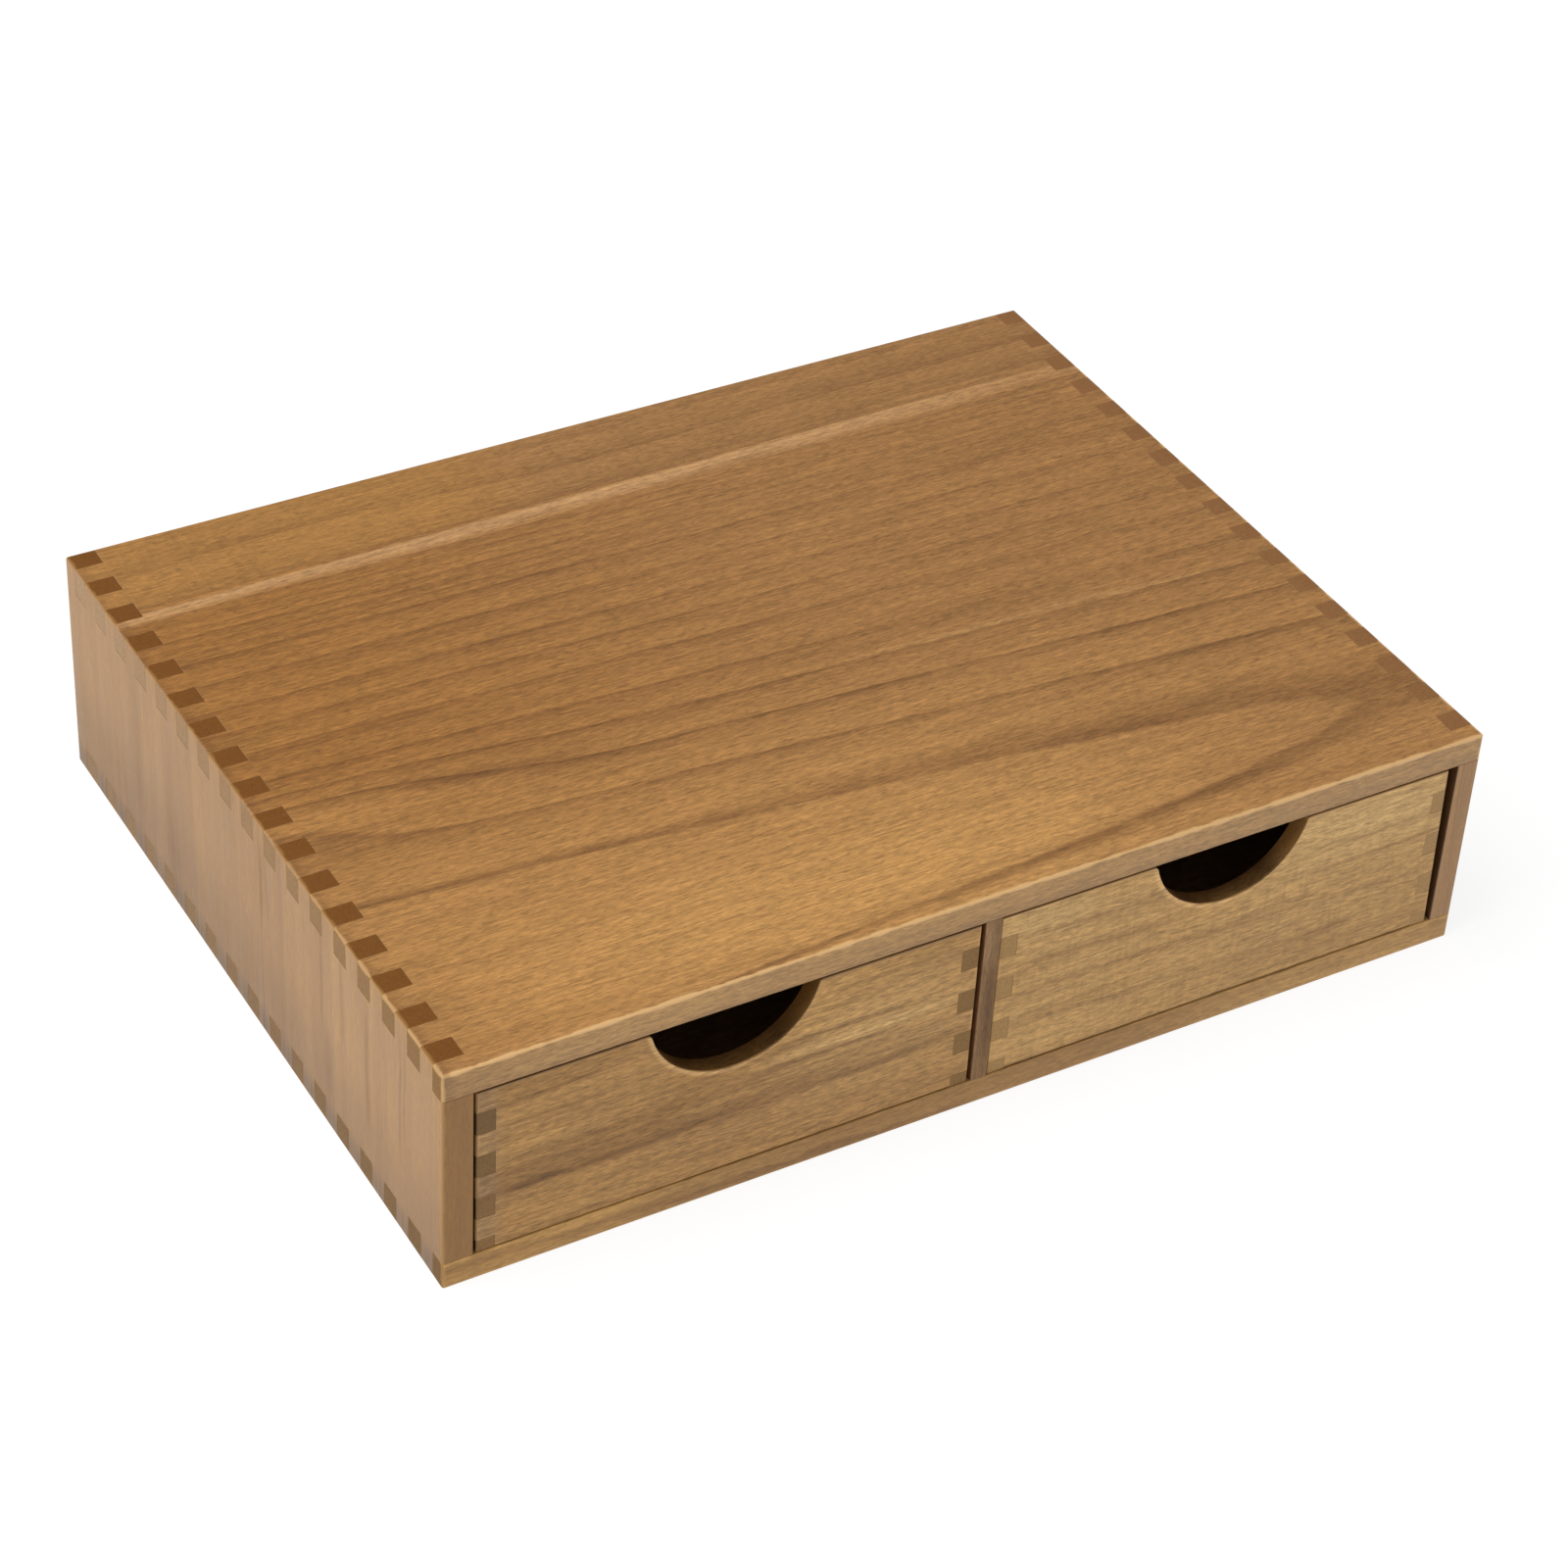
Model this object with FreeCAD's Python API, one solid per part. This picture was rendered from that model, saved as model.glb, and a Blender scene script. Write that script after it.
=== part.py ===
import FreeCAD, Part
import math
import os

from FreeCAD import Vector

# A low wooden case with two drawers, box-jointed at every corner.
# X runs along the front from left to right, Y from the front to the back, Z up.
# The origin is the middle of the footprint, on the surface that the case stands on.

# Case, millimetres
case_width = 350.0
case_depth = 270.0
case_height = 80.0
board_thickness = 9.5       # top, bottom and left side
right_side_thickness = 8.0
case_finger = 8.0           # one finger of the case's box joints
case_edge_radius = 0.8      # easing of the case's outer edges

# Rear boards of the glued-up panels, from the back edge to the glue line
top_rear_width = 36.0
bottom_rear_width = 124.0
side_rear_width = 148.0

# Divider between the two bays
divider_thickness = 5.5     # in the middle between the sides
divider_tongue = 3.0        # how deep its edges stand in their dados
divider_dado_stop = 12.0    # the dados end this far behind the front edge

# Back panel in its rebate
back_thickness = 4.0
back_rebate = 5.0           # width of the ledge that it lies on
back_recess = 0.6           # how far it lies inside the case's back edge
back_fit = 0.2              # gap round its edge

# Pins of the back panel
pin_shank_diameter = 1.2
pin_shank_length = 13.0
pin_head_diameter = 2.6
pin_head_thickness = 0.5
pin_hole_clearance = 0.05   # on the radius
pin_corner_inset = 18.0     # from the corner of the opening to the first pin
pins_per_long_edge = 6
pins_per_short_edge = 2

# Drawers
drawer_wall = 6.0
drawer_side_clearance = 1.0
drawer_top_clearance = 1.0
drawer_recess = 0.4         # front face behind the case's front edge
drawer_stop_gap = 0.5       # back face to the back panel
drawer_front_lift = 0.4     # shadow gap under the front
drawer_first_finger = 7.5   # the finger at the rim
drawer_finger = 8.0         # every other finger, counted down from the rim
drawer_corner_radius = 0.5
right_drawer_shift = 0.6    # the right drawer sits this much nearer to the divider
right_drawer_planed = 1.4   # taken off the top of its right side to ease it in its bay

# Finger notch in each drawer front
notch_radius = 27.5
notch_depth = 22.0
notch_corner_radius = 2.0
rim_radius = 0.5            # easing along the rim and round the notch

# Drawer bottoms
bottom_thickness = 3.0
bottom_groove = 3.0         # depth of the groove in each wall
bottom_height = 4.0         # groove above the drawer's lower edge
bottom_fit = 0.1            # gap round the panel in its groove

# A leftover thinner than this joins the finger before it
smallest_finger = 1.0
# Reach of a cutting shape past the face that it cuts
overcut = 5.0

# Planes that the pieces share
left = -case_width / 2
right = case_width / 2
front = -case_depth / 2
back = case_depth / 2
floor = board_thickness
ceiling = case_height - board_thickness
inner_left = left + board_thickness
inner_right = right - right_side_thickness
ledge = back - back_recess - back_thickness

divider_middle = (inner_left + inner_right) / 2
bay_width = (inner_right - inner_left - divider_thickness) / 2
drawer_width = bay_width - 2 * drawer_side_clearance
drawer_front = front + drawer_recess
drawer_back = ledge - drawer_stop_gap
drawer_rim = ceiling - drawer_top_clearance


def box(x, y, z):
    """Block between the low and high values given for each axis."""
    size = [high - low for low, high in (x, y, z)]
    return Part.makeBox(*size, Vector(x[0], y[0], z[0]))


def finger_spans(length, first, width):
    """Spans of the fingers along a joint, as distances from its datum edge."""
    edges = [0.0, first]
    while edges[-1] + width < length - smallest_finger:
        edges.append(edges[-1] + width)
    edges.append(length)
    return list(zip(edges, edges[1:]))


def spread(count, low, high):
    """Evenly spaced places from low to high."""
    step = (high - low) / (count - 1)
    return [low + step * index for index in range(count)]


# Case joints: counted from the back edge, the sides own every other span from the first
case_spans = finger_spans(case_depth, case_finger, case_finger)
side_spans = [(back - far, back - near) for near, far in case_spans[0::2]]
panel_spans = [(back - far, back - near) for near, far in case_spans[1::2]]

# Drawer joints: counted down from the rim, the front and back own every other span from the first
drawer_spans = finger_spans(drawer_rim - floor, drawer_first_finger, drawer_finger)
drawer_front_spans = [(drawer_rim - low, drawer_rim - high) for high, low in drawer_spans[0::2]]
drawer_side_spans = [(drawer_rim - low, drawer_rim - high) for high, low in drawer_spans[1::2]]


def case_envelope():
    """Outer form of the case with its edges eased."""
    block = box((left, right), (front, back), (0.0, case_height))
    return block.makeFillet(case_edge_radius, block.Edges)


def back_opening(gap):
    """Room in the rebate behind the case, smaller by a gap all round."""
    reach = back_rebate - gap
    return (
        (inner_left - reach, inner_right + reach),
        (floor - reach, ceiling + reach),
    )


def rebate():
    """Cut that lets the back panel in."""
    across, up = back_opening(0.0)
    return box(across, (ledge, back + overcut), up)


def divider():
    """Divider with a tongue along its upper and lower edge."""
    across = (divider_middle - divider_thickness / 2, divider_middle + divider_thickness / 2)
    web = box(across, (front, ledge), (floor, ceiling))
    tongues = box(
        across,
        (front + divider_dado_stop, ledge),
        (floor - divider_tongue, ceiling + divider_tongue),
    )
    return web.fuse(tongues).removeSplitter()


def pin_places():
    """Middles of the pins, as X and Z on the back panel."""
    across, up = back_opening(back_rebate / 2)
    columns = spread(pins_per_long_edge, inner_left + pin_corner_inset, inner_right - pin_corner_inset)
    rows = spread(pins_per_short_edge, floor + pin_corner_inset, ceiling - pin_corner_inset)
    return [(x, z) for z in up for x in columns] + [(x, z) for x in across for z in rows]


def pin_rod(place, radius, start, length):
    """Round rod along Y from a start plane towards the front."""
    x, z = place
    return Part.makeCylinder(radius, length, Vector(x, start, z), Vector(0, -1, 0))


def pins():
    """Every pin as its own solid: a shank with a flat head on the back panel."""
    seat = back - back_recess
    made = []
    for place in pin_places():
        shank = pin_rod(place, pin_shank_diameter / 2, seat, pin_shank_length)
        head = pin_rod(place, pin_head_diameter / 2, seat + pin_head_thickness, pin_head_thickness)
        made.append(shank.fuse(head))
    return made


def pin_holes():
    """Holes that the shanks go through."""
    radius = pin_shank_diameter / 2 + pin_hole_clearance
    seat = back - back_recess
    reach = pin_shank_length + overcut + pin_hole_clearance
    return [pin_rod(place, radius, seat + overcut, reach) for place in pin_places()]


def horizontal_panel(z):
    """Top or bottom panel, with sockets for the sides' fingers at both ends."""
    panel = box((left, right), (front, back), z)
    ends = ((left, inner_left), (inner_right, right))
    return panel.cut([box(end, span, z) for end in ends for span in side_spans])


def side_panel(x):
    """Side panel, with sockets for the top's and bottom's fingers."""
    panel = box(x, (front, back), (0.0, case_height))
    ends = ((0.0, floor), (ceiling, case_height))
    return panel.cut([box(x, span, end) for end in ends for span in panel_spans])


def split_boards(panel, rear_width):
    """Front and rear board of a panel, parted at its glue line."""
    glue_line = back - rear_width
    across = (left - overcut, right + overcut)
    up = (-overcut, case_height + overcut)
    front_part = panel.common(box(across, (front - overcut, glue_line), up))
    rear_part = panel.common(box(across, (glue_line, back + overcut), up))
    return front_part, rear_part


def case_pieces():
    """Boards of the case, by name."""
    divider_board = divider()
    cuts = [rebate(), divider_board] + pin_holes()
    envelope = case_envelope()
    panels = {
        "top": (horizontal_panel((ceiling, case_height)), top_rear_width),
        "bottom": (horizontal_panel((0.0, floor)), bottom_rear_width),
        "left_side": (side_panel((left, inner_left)), side_rear_width),
        "right_side": (side_panel((inner_right, right)), side_rear_width),
    }
    pieces = {}
    for name, (panel, rear_width) in panels.items():
        finished = panel.cut(cuts).common(envelope)
        front_part, rear_part = split_boards(finished, rear_width)
        pieces[name + "_front_board"] = front_part
        pieces[name + "_rear_board"] = rear_part
    across, up = back_opening(back_fit)
    panel = box(across, (ledge, ledge + back_thickness), up)
    pieces["centre_divider"] = divider_board.common(envelope)
    pieces["back_panel"] = panel.cut(pin_holes())
    pieces["back_panel_pins"] = Part.makeCompound(pins())
    return pieces


def notch_cutter(middle):
    """Round notch that opens at the rim, with a small round at each corner."""
    rise = notch_radius - notch_depth
    centre = Vector(middle, drawer_front, drawer_rim + rise)
    corner_z = drawer_rim - notch_corner_radius
    reach = notch_radius + notch_corner_radius
    corner_x = math.sqrt(reach**2 - (rise + notch_corner_radius) ** 2)
    turn = math.atan2(rise + notch_corner_radius, corner_x)
    half_turn = (math.pi / 2 + turn) / 2

    def on_corner(side, angle):
        """Point on the round at the left (-1) or right (+1) end of the rim."""
        x = middle + side * (corner_x - notch_corner_radius * math.cos(angle))
        return Vector(x, drawer_front, corner_z + notch_corner_radius * math.sin(angle))

    lowest = centre - Vector(0, 0, notch_radius)
    over_left = on_corner(-1, math.pi / 2) + Vector(0, 0, overcut)
    over_right = on_corner(1, math.pi / 2) + Vector(0, 0, overcut)
    edges = [
        Part.Arc(on_corner(-1, math.pi / 2), on_corner(-1, half_turn), on_corner(-1, turn)),
        Part.Arc(on_corner(-1, turn), lowest, on_corner(1, turn)),
        Part.Arc(on_corner(1, turn), on_corner(1, half_turn), on_corner(1, math.pi / 2)),
        Part.LineSegment(on_corner(1, math.pi / 2), over_right),
        Part.LineSegment(over_right, over_left),
        Part.LineSegment(over_left, on_corner(-1, math.pi / 2)),
    ]
    outline = Part.Wire([edge.toShape() for edge in edges])
    outline.translate(Vector(0, -overcut, 0))
    return Part.Face(outline).extrude(Vector(0, drawer_wall + 2 * overcut, 0))


def front_plate(x, y):
    """Plain drawer front with its notch, eased along the rim and round the notch."""
    plate = box(x, y, (floor + drawer_front_lift, drawer_rim))
    plate = plate.cut(notch_cutter((x[0] + x[1]) / 2))
    lowest = drawer_rim - notch_depth - rim_radius
    eased = []
    for edge in plate.Edges:
        bounds = edge.BoundBox
        flat = bounds.YLength < rim_radius
        across = bounds.XLength > rim_radius
        if flat and across and bounds.ZMin > lowest:
            eased.append(edge)
    return plate.makeFillet(rim_radius, eased)


def drawer_pieces(name, middle, planed):
    """Five boards of one drawer; the right side's top edge may be planed back."""
    x_low = middle - drawer_width / 2
    x_high = middle + drawer_width / 2
    y_low = drawer_front
    y_high = drawer_back
    height = (floor, drawer_rim)
    front_y = (y_low, y_low + drawer_wall)
    back_y = (y_high - drawer_wall, y_high)
    left_x = (x_low, x_low + drawer_wall)
    right_x = (x_high - drawer_wall, x_high)

    in_groove = drawer_wall - bottom_groove
    panel_x = (x_low + in_groove, x_high - in_groove)
    panel_y = (y_low + in_groove, y_high - in_groove)
    panel_z = (floor + bottom_height, floor + bottom_height + bottom_thickness)
    groove = box(panel_x, panel_y, panel_z)
    inset_x = (panel_x[0] + bottom_fit, panel_x[1] - bottom_fit)
    inset_y = (panel_y[0] + bottom_fit, panel_y[1] - bottom_fit)
    inset_z = (panel_z[0], panel_z[1] - bottom_fit)

    corners = [(x, y) for x in (left_x, right_x) for y in (front_y, back_y)]
    side_fingers = [box(x, y, span) for x, y in corners for span in drawer_side_spans]
    front_fingers = [box(x, y, span) for x, y in corners for span in drawer_front_spans]

    block = box((x_low, x_high), (y_low, y_high), height)
    upright = [edge for edge in block.Edges if edge.BoundBox.ZLength > drawer_corner_radius]
    envelope = block.makeFillet(drawer_corner_radius, upright)
    outline = Part.makePolygon([
        Vector(x_high, y_low - overcut, floor),
        Vector(x_high + overcut, y_low - overcut, floor),
        Vector(x_high + overcut, y_low - overcut, drawer_rim),
        Vector(x_high - planed, y_low - overcut, drawer_rim),
        Vector(x_high, y_low - overcut, floor),
    ])
    shaving = Part.Face(outline).extrude(Vector(0, y_high - y_low + 2 * overcut, 0))

    walls = {
        "front": front_plate((x_low, x_high), front_y).cut(side_fingers),
        "back": box((x_low, x_high), back_y, height).cut(side_fingers),
        "left_side": box(left_x, (y_low, y_high), height).cut(front_fingers),
        "right_side": box(right_x, (y_low, y_high), height).cut(front_fingers),
    }
    pieces = {}
    for part, wall in walls.items():
        pieces[name + "_" + part] = wall.cut([groove, shaving]).common(envelope)
    pieces[name + "_bottom"] = box(inset_x, inset_y, inset_z)
    return pieces


bay_offset = (divider_thickness + bay_width) / 2
left_middle = divider_middle - bay_offset
right_middle = divider_middle + bay_offset - right_drawer_shift
parts = case_pieces()
parts.update(drawer_pieces("left_drawer", left_middle, 0.0))
parts.update(drawer_pieces("right_drawer", right_middle, right_drawer_planed))

os.makedirs("parts", exist_ok=True)
for name, shape in parts.items():
    shape.exportStep(os.path.join("parts", name + ".step"))
    volume = shape.Volume / 1000
    print(f"{name}: {len(shape.Solids)} solid(s), {volume:.2f} cm3, valid {shape.isValid()}")
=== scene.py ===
# %% [markdown]
# # A box-jointed wooden case with two drawers
#
# This lesson dresses a finished CAD model. The CAD gives every board its size and place, and
# tells which pieces slide. Here each board is made again with the small things a maker's hand
# leaves on it: fingers planed flush, eased edges, growth rings, flecks and end grain.
#
# The first step loads the CAD model and keeps the box that it fills, because the dressed model
# has to fill the same one.

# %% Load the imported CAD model
import math

import bmesh
import bpy
from mathutils import Matrix, Vector


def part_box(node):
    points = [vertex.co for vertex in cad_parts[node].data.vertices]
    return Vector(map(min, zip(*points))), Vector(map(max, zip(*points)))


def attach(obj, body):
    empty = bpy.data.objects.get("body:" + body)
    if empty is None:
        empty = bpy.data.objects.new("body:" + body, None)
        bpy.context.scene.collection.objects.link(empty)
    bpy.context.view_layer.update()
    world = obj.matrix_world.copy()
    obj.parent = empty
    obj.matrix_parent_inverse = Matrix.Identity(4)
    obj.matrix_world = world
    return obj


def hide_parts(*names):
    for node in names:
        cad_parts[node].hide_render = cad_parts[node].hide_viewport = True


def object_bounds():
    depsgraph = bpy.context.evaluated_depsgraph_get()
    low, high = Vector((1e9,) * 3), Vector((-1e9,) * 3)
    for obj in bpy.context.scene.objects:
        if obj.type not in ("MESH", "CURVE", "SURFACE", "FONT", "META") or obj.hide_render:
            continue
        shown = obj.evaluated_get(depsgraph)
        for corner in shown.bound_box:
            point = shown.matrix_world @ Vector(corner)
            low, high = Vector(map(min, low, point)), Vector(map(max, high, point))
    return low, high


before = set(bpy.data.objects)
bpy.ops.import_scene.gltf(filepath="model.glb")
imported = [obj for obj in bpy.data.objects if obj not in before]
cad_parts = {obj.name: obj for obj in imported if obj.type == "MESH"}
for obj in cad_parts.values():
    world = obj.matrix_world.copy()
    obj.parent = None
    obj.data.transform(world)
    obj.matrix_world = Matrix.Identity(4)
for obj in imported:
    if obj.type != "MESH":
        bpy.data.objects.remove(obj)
cad_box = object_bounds()
scene = bpy.context.scene
mm = 0.001


def short(box):
    """A box's corners, rounded for printing."""
    return [tuple(round(v, 4) for v in corner) for corner in box]


def stand(name, data):
    """Put new data into the scene as an object."""
    made = bpy.data.objects.new(name, data)
    scene.collection.objects.link(made)
    return made


print("CAD nodes:", len(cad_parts), "box:", short(cad_box))

# %% [markdown]
# ## Camera
#
# The photograph looks down on the case from the front left with a long lens. The case's own
# corners give the camera: with width, depth and height known, there is one place from which
# seven corners fall where the photograph has them. A new camera looks straight down, so three
# plain turns follow: round the upright, up from the floor, and a small roll.

# %% Place the camera
camera_place = (-0.5345, -0.8816, 0.8289)
camera_turn, camera_rise, camera_roll = -31.71, 37.91, 3.64    # degrees
camera_data = bpy.data.cameras.new("camera")
camera_data.sensor_width = 36.0
camera_data.lens = 94.97
camera = stand("camera", camera_data)
aim = Matrix.Translation(camera_place)
for turn, axis in ((camera_turn, "Z"), (90.0 - camera_rise, "X"), (camera_roll, "Z")):
    aim = aim @ Matrix.Rotation(math.radians(turn), 4, axis)
camera.matrix_world = aim
scene.camera = camera
print("camera at", camera_place, "lens", camera_data.lens)

# %% [markdown]
# ## Small helpers for node trees
#
# A node tree written in Python gets long, because every node needs three or four lines. So a
# node's output is wrapped in a small class that can be reckoned with: adding two wires puts a
# Math node into their tree, and a sum in the script reads like a sum. The helpers serve shader
# trees and geometry trees alike.

# %% Wires that can be reckoned with
class Wire:
    """A node's output; sums of wires become Math nodes in the same tree."""

    def __init__(self, socket):
        self.socket = socket
        self.node = socket.node
        self.tree = socket.id_data

    def __add__(self, other):
        return reckon("ADD", self, other)

    def __sub__(self, other):
        return reckon("SUBTRACT", self, other)

    def __rsub__(self, other):
        return reckon("SUBTRACT", other, self)

    def __mul__(self, other):
        return reckon("MULTIPLY", self, other)

    def __truediv__(self, other):
        return reckon("DIVIDE", self, other)

    def __pow__(self, other):
        return reckon("POWER", self, other)

    __radd__ = __add__

    def split(self):
        """The three numbers of a vector."""
        return [Wire(part) for part in add(self.tree, "ShaderNodeSeparateXYZ", {0: self}).node.outputs]


def feed(socket, value):
    """Link a wire to an input, or set the input to a plain value."""
    if isinstance(value, Wire):
        value.tree.links.new(value.socket, socket)
    else:
        socket.default_value = value


def add(tree, kind, inputs=None, give=0, **options):
    """Add a node, set its options and feed its inputs; gives back one of its outputs."""
    made = tree.nodes.new(kind)
    for option, value in options.items():
        setattr(made, option, value)
    for socket, value in (inputs or {}).items():
        feed(made.inputs[socket], value)
    return Wire(made.outputs[give])


def tree_of(*values):
    """The tree of the first wire among some values."""
    return next(value.tree for value in values if isinstance(value, Wire))


def reckon(operation, *values):
    """One Math node."""
    return add(tree_of(*values), "ShaderNodeMath", dict(enumerate(values)), operation=operation)


def vectors(operation, *values):
    """One Vector Math node; gives back its vector, or its value where it has one."""
    give = "Value" if operation in ("LENGTH", "DOT_PRODUCT") else "Vector"
    return add(tree_of(*values), "ShaderNodeVectorMath", dict(enumerate(values)), give, operation=operation)


print("wires ready")

# %% Node helpers
def between(value, low, high, to_low=0.0, to_high=1.0, smooth=True):
    """Map Range from low..high; smooth by default."""
    kind = "SMOOTHSTEP" if smooth else "LINEAR"
    inputs = {"Value": value, "From Min": low, "From Max": high, "To Min": to_low, "To Max": to_high}
    return add(value.tree, "ShaderNodeMapRange", inputs, "Result", interpolation_type=kind)


def spread(value, to_low, to_high, smooth=True):
    """Map Range from 0..1."""
    return between(value, 0.0, 1.0, to_low, to_high, smooth)


def blend(share, first, second, how="MIX"):
    """One colour Mix node."""
    inputs = {0: share, 6: first, 7: second}
    return add(tree_of(share, first, second), "ShaderNodeMix", inputs, 2, data_type="RGBA", blend_type=how)


def shaded(colour, shade):
    """A colour times a number."""
    grey = add(shade.tree, "ShaderNodeCombineColor", {0: shade, 1: shade, 2: shade})
    return blend(1.0, colour, grey, "MULTIPLY")


def place_seen(tree, kind="Object"):
    """One output of a Texture Coordinate node: by default, the place on the object."""
    return add(tree, "ShaderNodeTexCoord", give=kind)


def outputs_of(node):
    """All outputs of a node, by name."""
    return {socket.name: Wire(socket) for socket in node.outputs}


def place_group(tree, group, inputs):
    """Put a shader group into a tree; gives back its outputs by name."""
    return outputs_of(add(tree, "ShaderNodeGroup", inputs, node_tree=group).node)


SHAPE = "NodeSocketGeometry"
FINISH = "NodeSocketMaterial"
NUMBER = "NodeSocketFloat"
SOCKETS = {float: NUMBER, int: "NodeSocketInt", tuple: "NodeSocketVector"}
ORIGIN = (0.0, 0.0, 0.0)


def new_group(name, inputs, outputs, kind="ShaderNodeTree", gives=NUMBER):
    """Start a node group. An input is told by its default value, or by its kind of socket."""
    tree = bpy.data.node_groups.new(name, kind)
    for socket, default in inputs.items():
        socket_type = SOCKETS.get(type(default), default)
        made = tree.interface.new_socket(socket, in_out="INPUT", socket_type=socket_type)
        if socket_type != default:
            made.default_value = default
    for socket in outputs:
        tree.interface.new_socket(socket, in_out="OUTPUT", socket_type=gives)
    given = outputs_of(tree.nodes.new("NodeGroupInput"))
    return tree, given, tree.nodes.new("NodeGroupOutput").inputs


def end_tree(shape, given, result):
    """Make a tree's instances real, give its shape the finish and hand it out."""
    real = add(shape.tree, "GeometryNodeRealizeInstances", {"Geometry": shape})
    finished = {"Geometry": real, "Material": given["Finish"]}
    feed(result["Geometry"], add(shape.tree, "GeometryNodeSetMaterial", finished))


def new_material(name):
    """Start a material; gives back it, its tree and its shader's inputs."""
    made = bpy.data.materials.new(name)
    made.use_nodes = True
    return made, made.node_tree, made.node_tree.nodes["Principled BSDF"].inputs


print("node helpers ready")

# %% [markdown]
# ## Floor and light
#
# The case stands on a white light table: the floor glows by itself, so it stays white and keeps
# only a faint shadow. Its glow also fills the case's sides, and an oiled side seen at a slant
# mirrors some of it, which is why the sides look greyer than the top. The room is bright behind
# the viewer and dim behind the case, so the top mirrors little and keeps its deep colour. One
# broad soft light hangs over the left side, a little behind the middle.

# %% Floor
scene.view_settings.view_transform = "Standard"
scene.view_settings.look = "None"

floor_half = 6.0
floor_corners = [(x * floor_half, y * floor_half, 0.0) for x, y in ((-1, -1), (1, -1), (1, 1), (-1, 1))]
floor_mesh = bpy.data.meshes.new("floor")
floor_mesh.from_pydata(floor_corners, [], [(0, 1, 2, 3)])
floor = stand("floor", floor_mesh)

white = (1.0, 1.0, 1.0, 1.0)
floor_white, _, floor_shader = new_material("floor_white")
feed(floor_shader["Base Color"], (0.24, 0.24, 0.24, 1.0))
feed(floor_shader["Roughness"], 1.0)
feed(floor_shader["Specular IOR Level"], 0.0)
feed(floor_shader["Emission Color"], white)
feed(floor_shader["Emission Strength"], 0.84)
floor_mesh.materials.append(floor_white)
print("floor", 2 * floor_half, "m wide")

# %% Sky and light
sky = bpy.data.worlds.new("sky")
sky.use_nodes = True
background = sky.node_tree.nodes["Background"].inputs
viewer_way = (-0.4, -0.88, 0.25)
to_viewer = vectors("DOT_PRODUCT", place_seen(sky.node_tree, "Generated"), viewer_way)
feed(background["Color"], white)
feed(background["Strength"], between(to_viewer, -0.7, 0.7, 0.2, 0.54))
scene.world = sky

light_place = Vector((-1.1, 0.15, 1.9))
case_middle = Vector((0.0, 0.0, 0.04))
light_data = bpy.data.lights.new("left_light", "AREA")
light_data.size = 1.8
light_data.energy = 34.0
light = stand("left_light", light_data)
light.location = light_place
light.rotation_euler = (light_place - case_middle).to_track_quat("Z", "Y").to_euler()
print("light:", light.name, light_data.energy, "W")

# %% [markdown]
# ## The figure of the wood, as shader groups
#
# Wood's figure is solid: the lines on a face and the arcs on its end are the same growth rings,
# cut two ways. So the rings are worked out in space, from Object coordinates in millimetres with
# the grain turned to X, and every face of a board then shows its own cut of them. A flat picture
# would have to be matched by hand at each corner.
#
# The first group gives the distance from the pith. A trunk tapers, so the distance changes along
# the grain, and that is what makes the pointed arches of a flat-sawn board. A swirl stands for
# the place where a branch once grew.

# %% Group: distance from the pith
no_swirl = (0.0, ORIGIN, (60.0, 15.0, 15.0))
tree, given, result = new_group("Pith Distance", {
    "Vector": ORIGIN,
    "Pith Across": 0.0,
    "Pith Depth": 25.0,
    "Lean": 0.0,
    "Taper": 0.05,
    "Taper Reach": 115.0,
    "Swirl": no_swirl[0],
    "Swirl Place": no_swirl[1],
    "Swirl Size": no_swirl[2],
    "Wander": 1.5,
    "Seed": 0.0,
}, ["Distance"])
x, y, z = given["Vector"].split()
across = x * given["Lean"] + (y - given["Pith Across"])
depth = z - given["Pith Depth"]
ring = reckon("SQRT", across * across + depth * depth)
far = (reckon("ABSOLUTE", across) / given["Taper Reach"]) ** 2.0
ring += given["Taper"] * reckon("EXPONENT", far * -1.0) * x
off = vectors("DIVIDE", vectors("SUBTRACT", given["Vector"], given["Swirl Place"]), given["Swirl Size"])
ring += given["Swirl"] * reckon("EXPONENT", vectors("DOT_PRODUCT", off, off) * -1.0)
for lump, amount in (((1 / 80, 1 / 30, 1 / 30), 2.0), ((1 / 9, 1 / 5, 1 / 5), 0.8)):
    noise = add(tree, "ShaderNodeTexNoise", {
        "Vector": vectors("MULTIPLY", given["Vector"], lump), "W": given["Seed"], "Scale": 1.0, "Detail": 1.0,
    }, noise_dimensions="4D")
    ring += (noise - 0.5) * amount * given["Wander"]
feed(result["Distance"], ring)
pith_distance = tree
print("group", tree.name, "has", len(tree.nodes), "nodes")

# %% [markdown]
# The second group turns a ring count into marks. A year starts pale, darkens slowly and stops in
# a thin dark line, so its tone is a saw tooth. Each year gets its own tone and its own strength,
# because no two years grow alike.

# %% Group: marks of the growth rings
tree, given, result = new_group(
    "Ring Marks",
    {"Ring Count": 0.0, "Band Sharpness": 3.0, "Seed": 0.0},
    ["Line", "Band", "Growth", "Tone", "Strength"],
)
line_width = 0.06
year = reckon("FLOOR", given["Ring Count"] - line_width)
grown = reckon("FRACT", given["Ring Count"])
fall = between(grown, 0.0, line_width, 1.0, 0.0)
for mark, sharpness in (("Line", 14.0), ("Band", given["Band Sharpness"]), ("Growth", 1.6)):
    feed(result[mark], reckon("MAXIMUM", grown ** sharpness, fall))
for chance, shift in (("Tone", 0.0), ("Strength", 61.7)):
    which = year + given["Seed"] + shift
    feed(result[chance], add(tree, "ShaderNodeTexWhiteNoise", {"W": which}, "Value", noise_dimensions="1D"))
ring_marks = tree
print("group", tree.name, "has", len(tree.nodes), "nodes")

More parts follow.
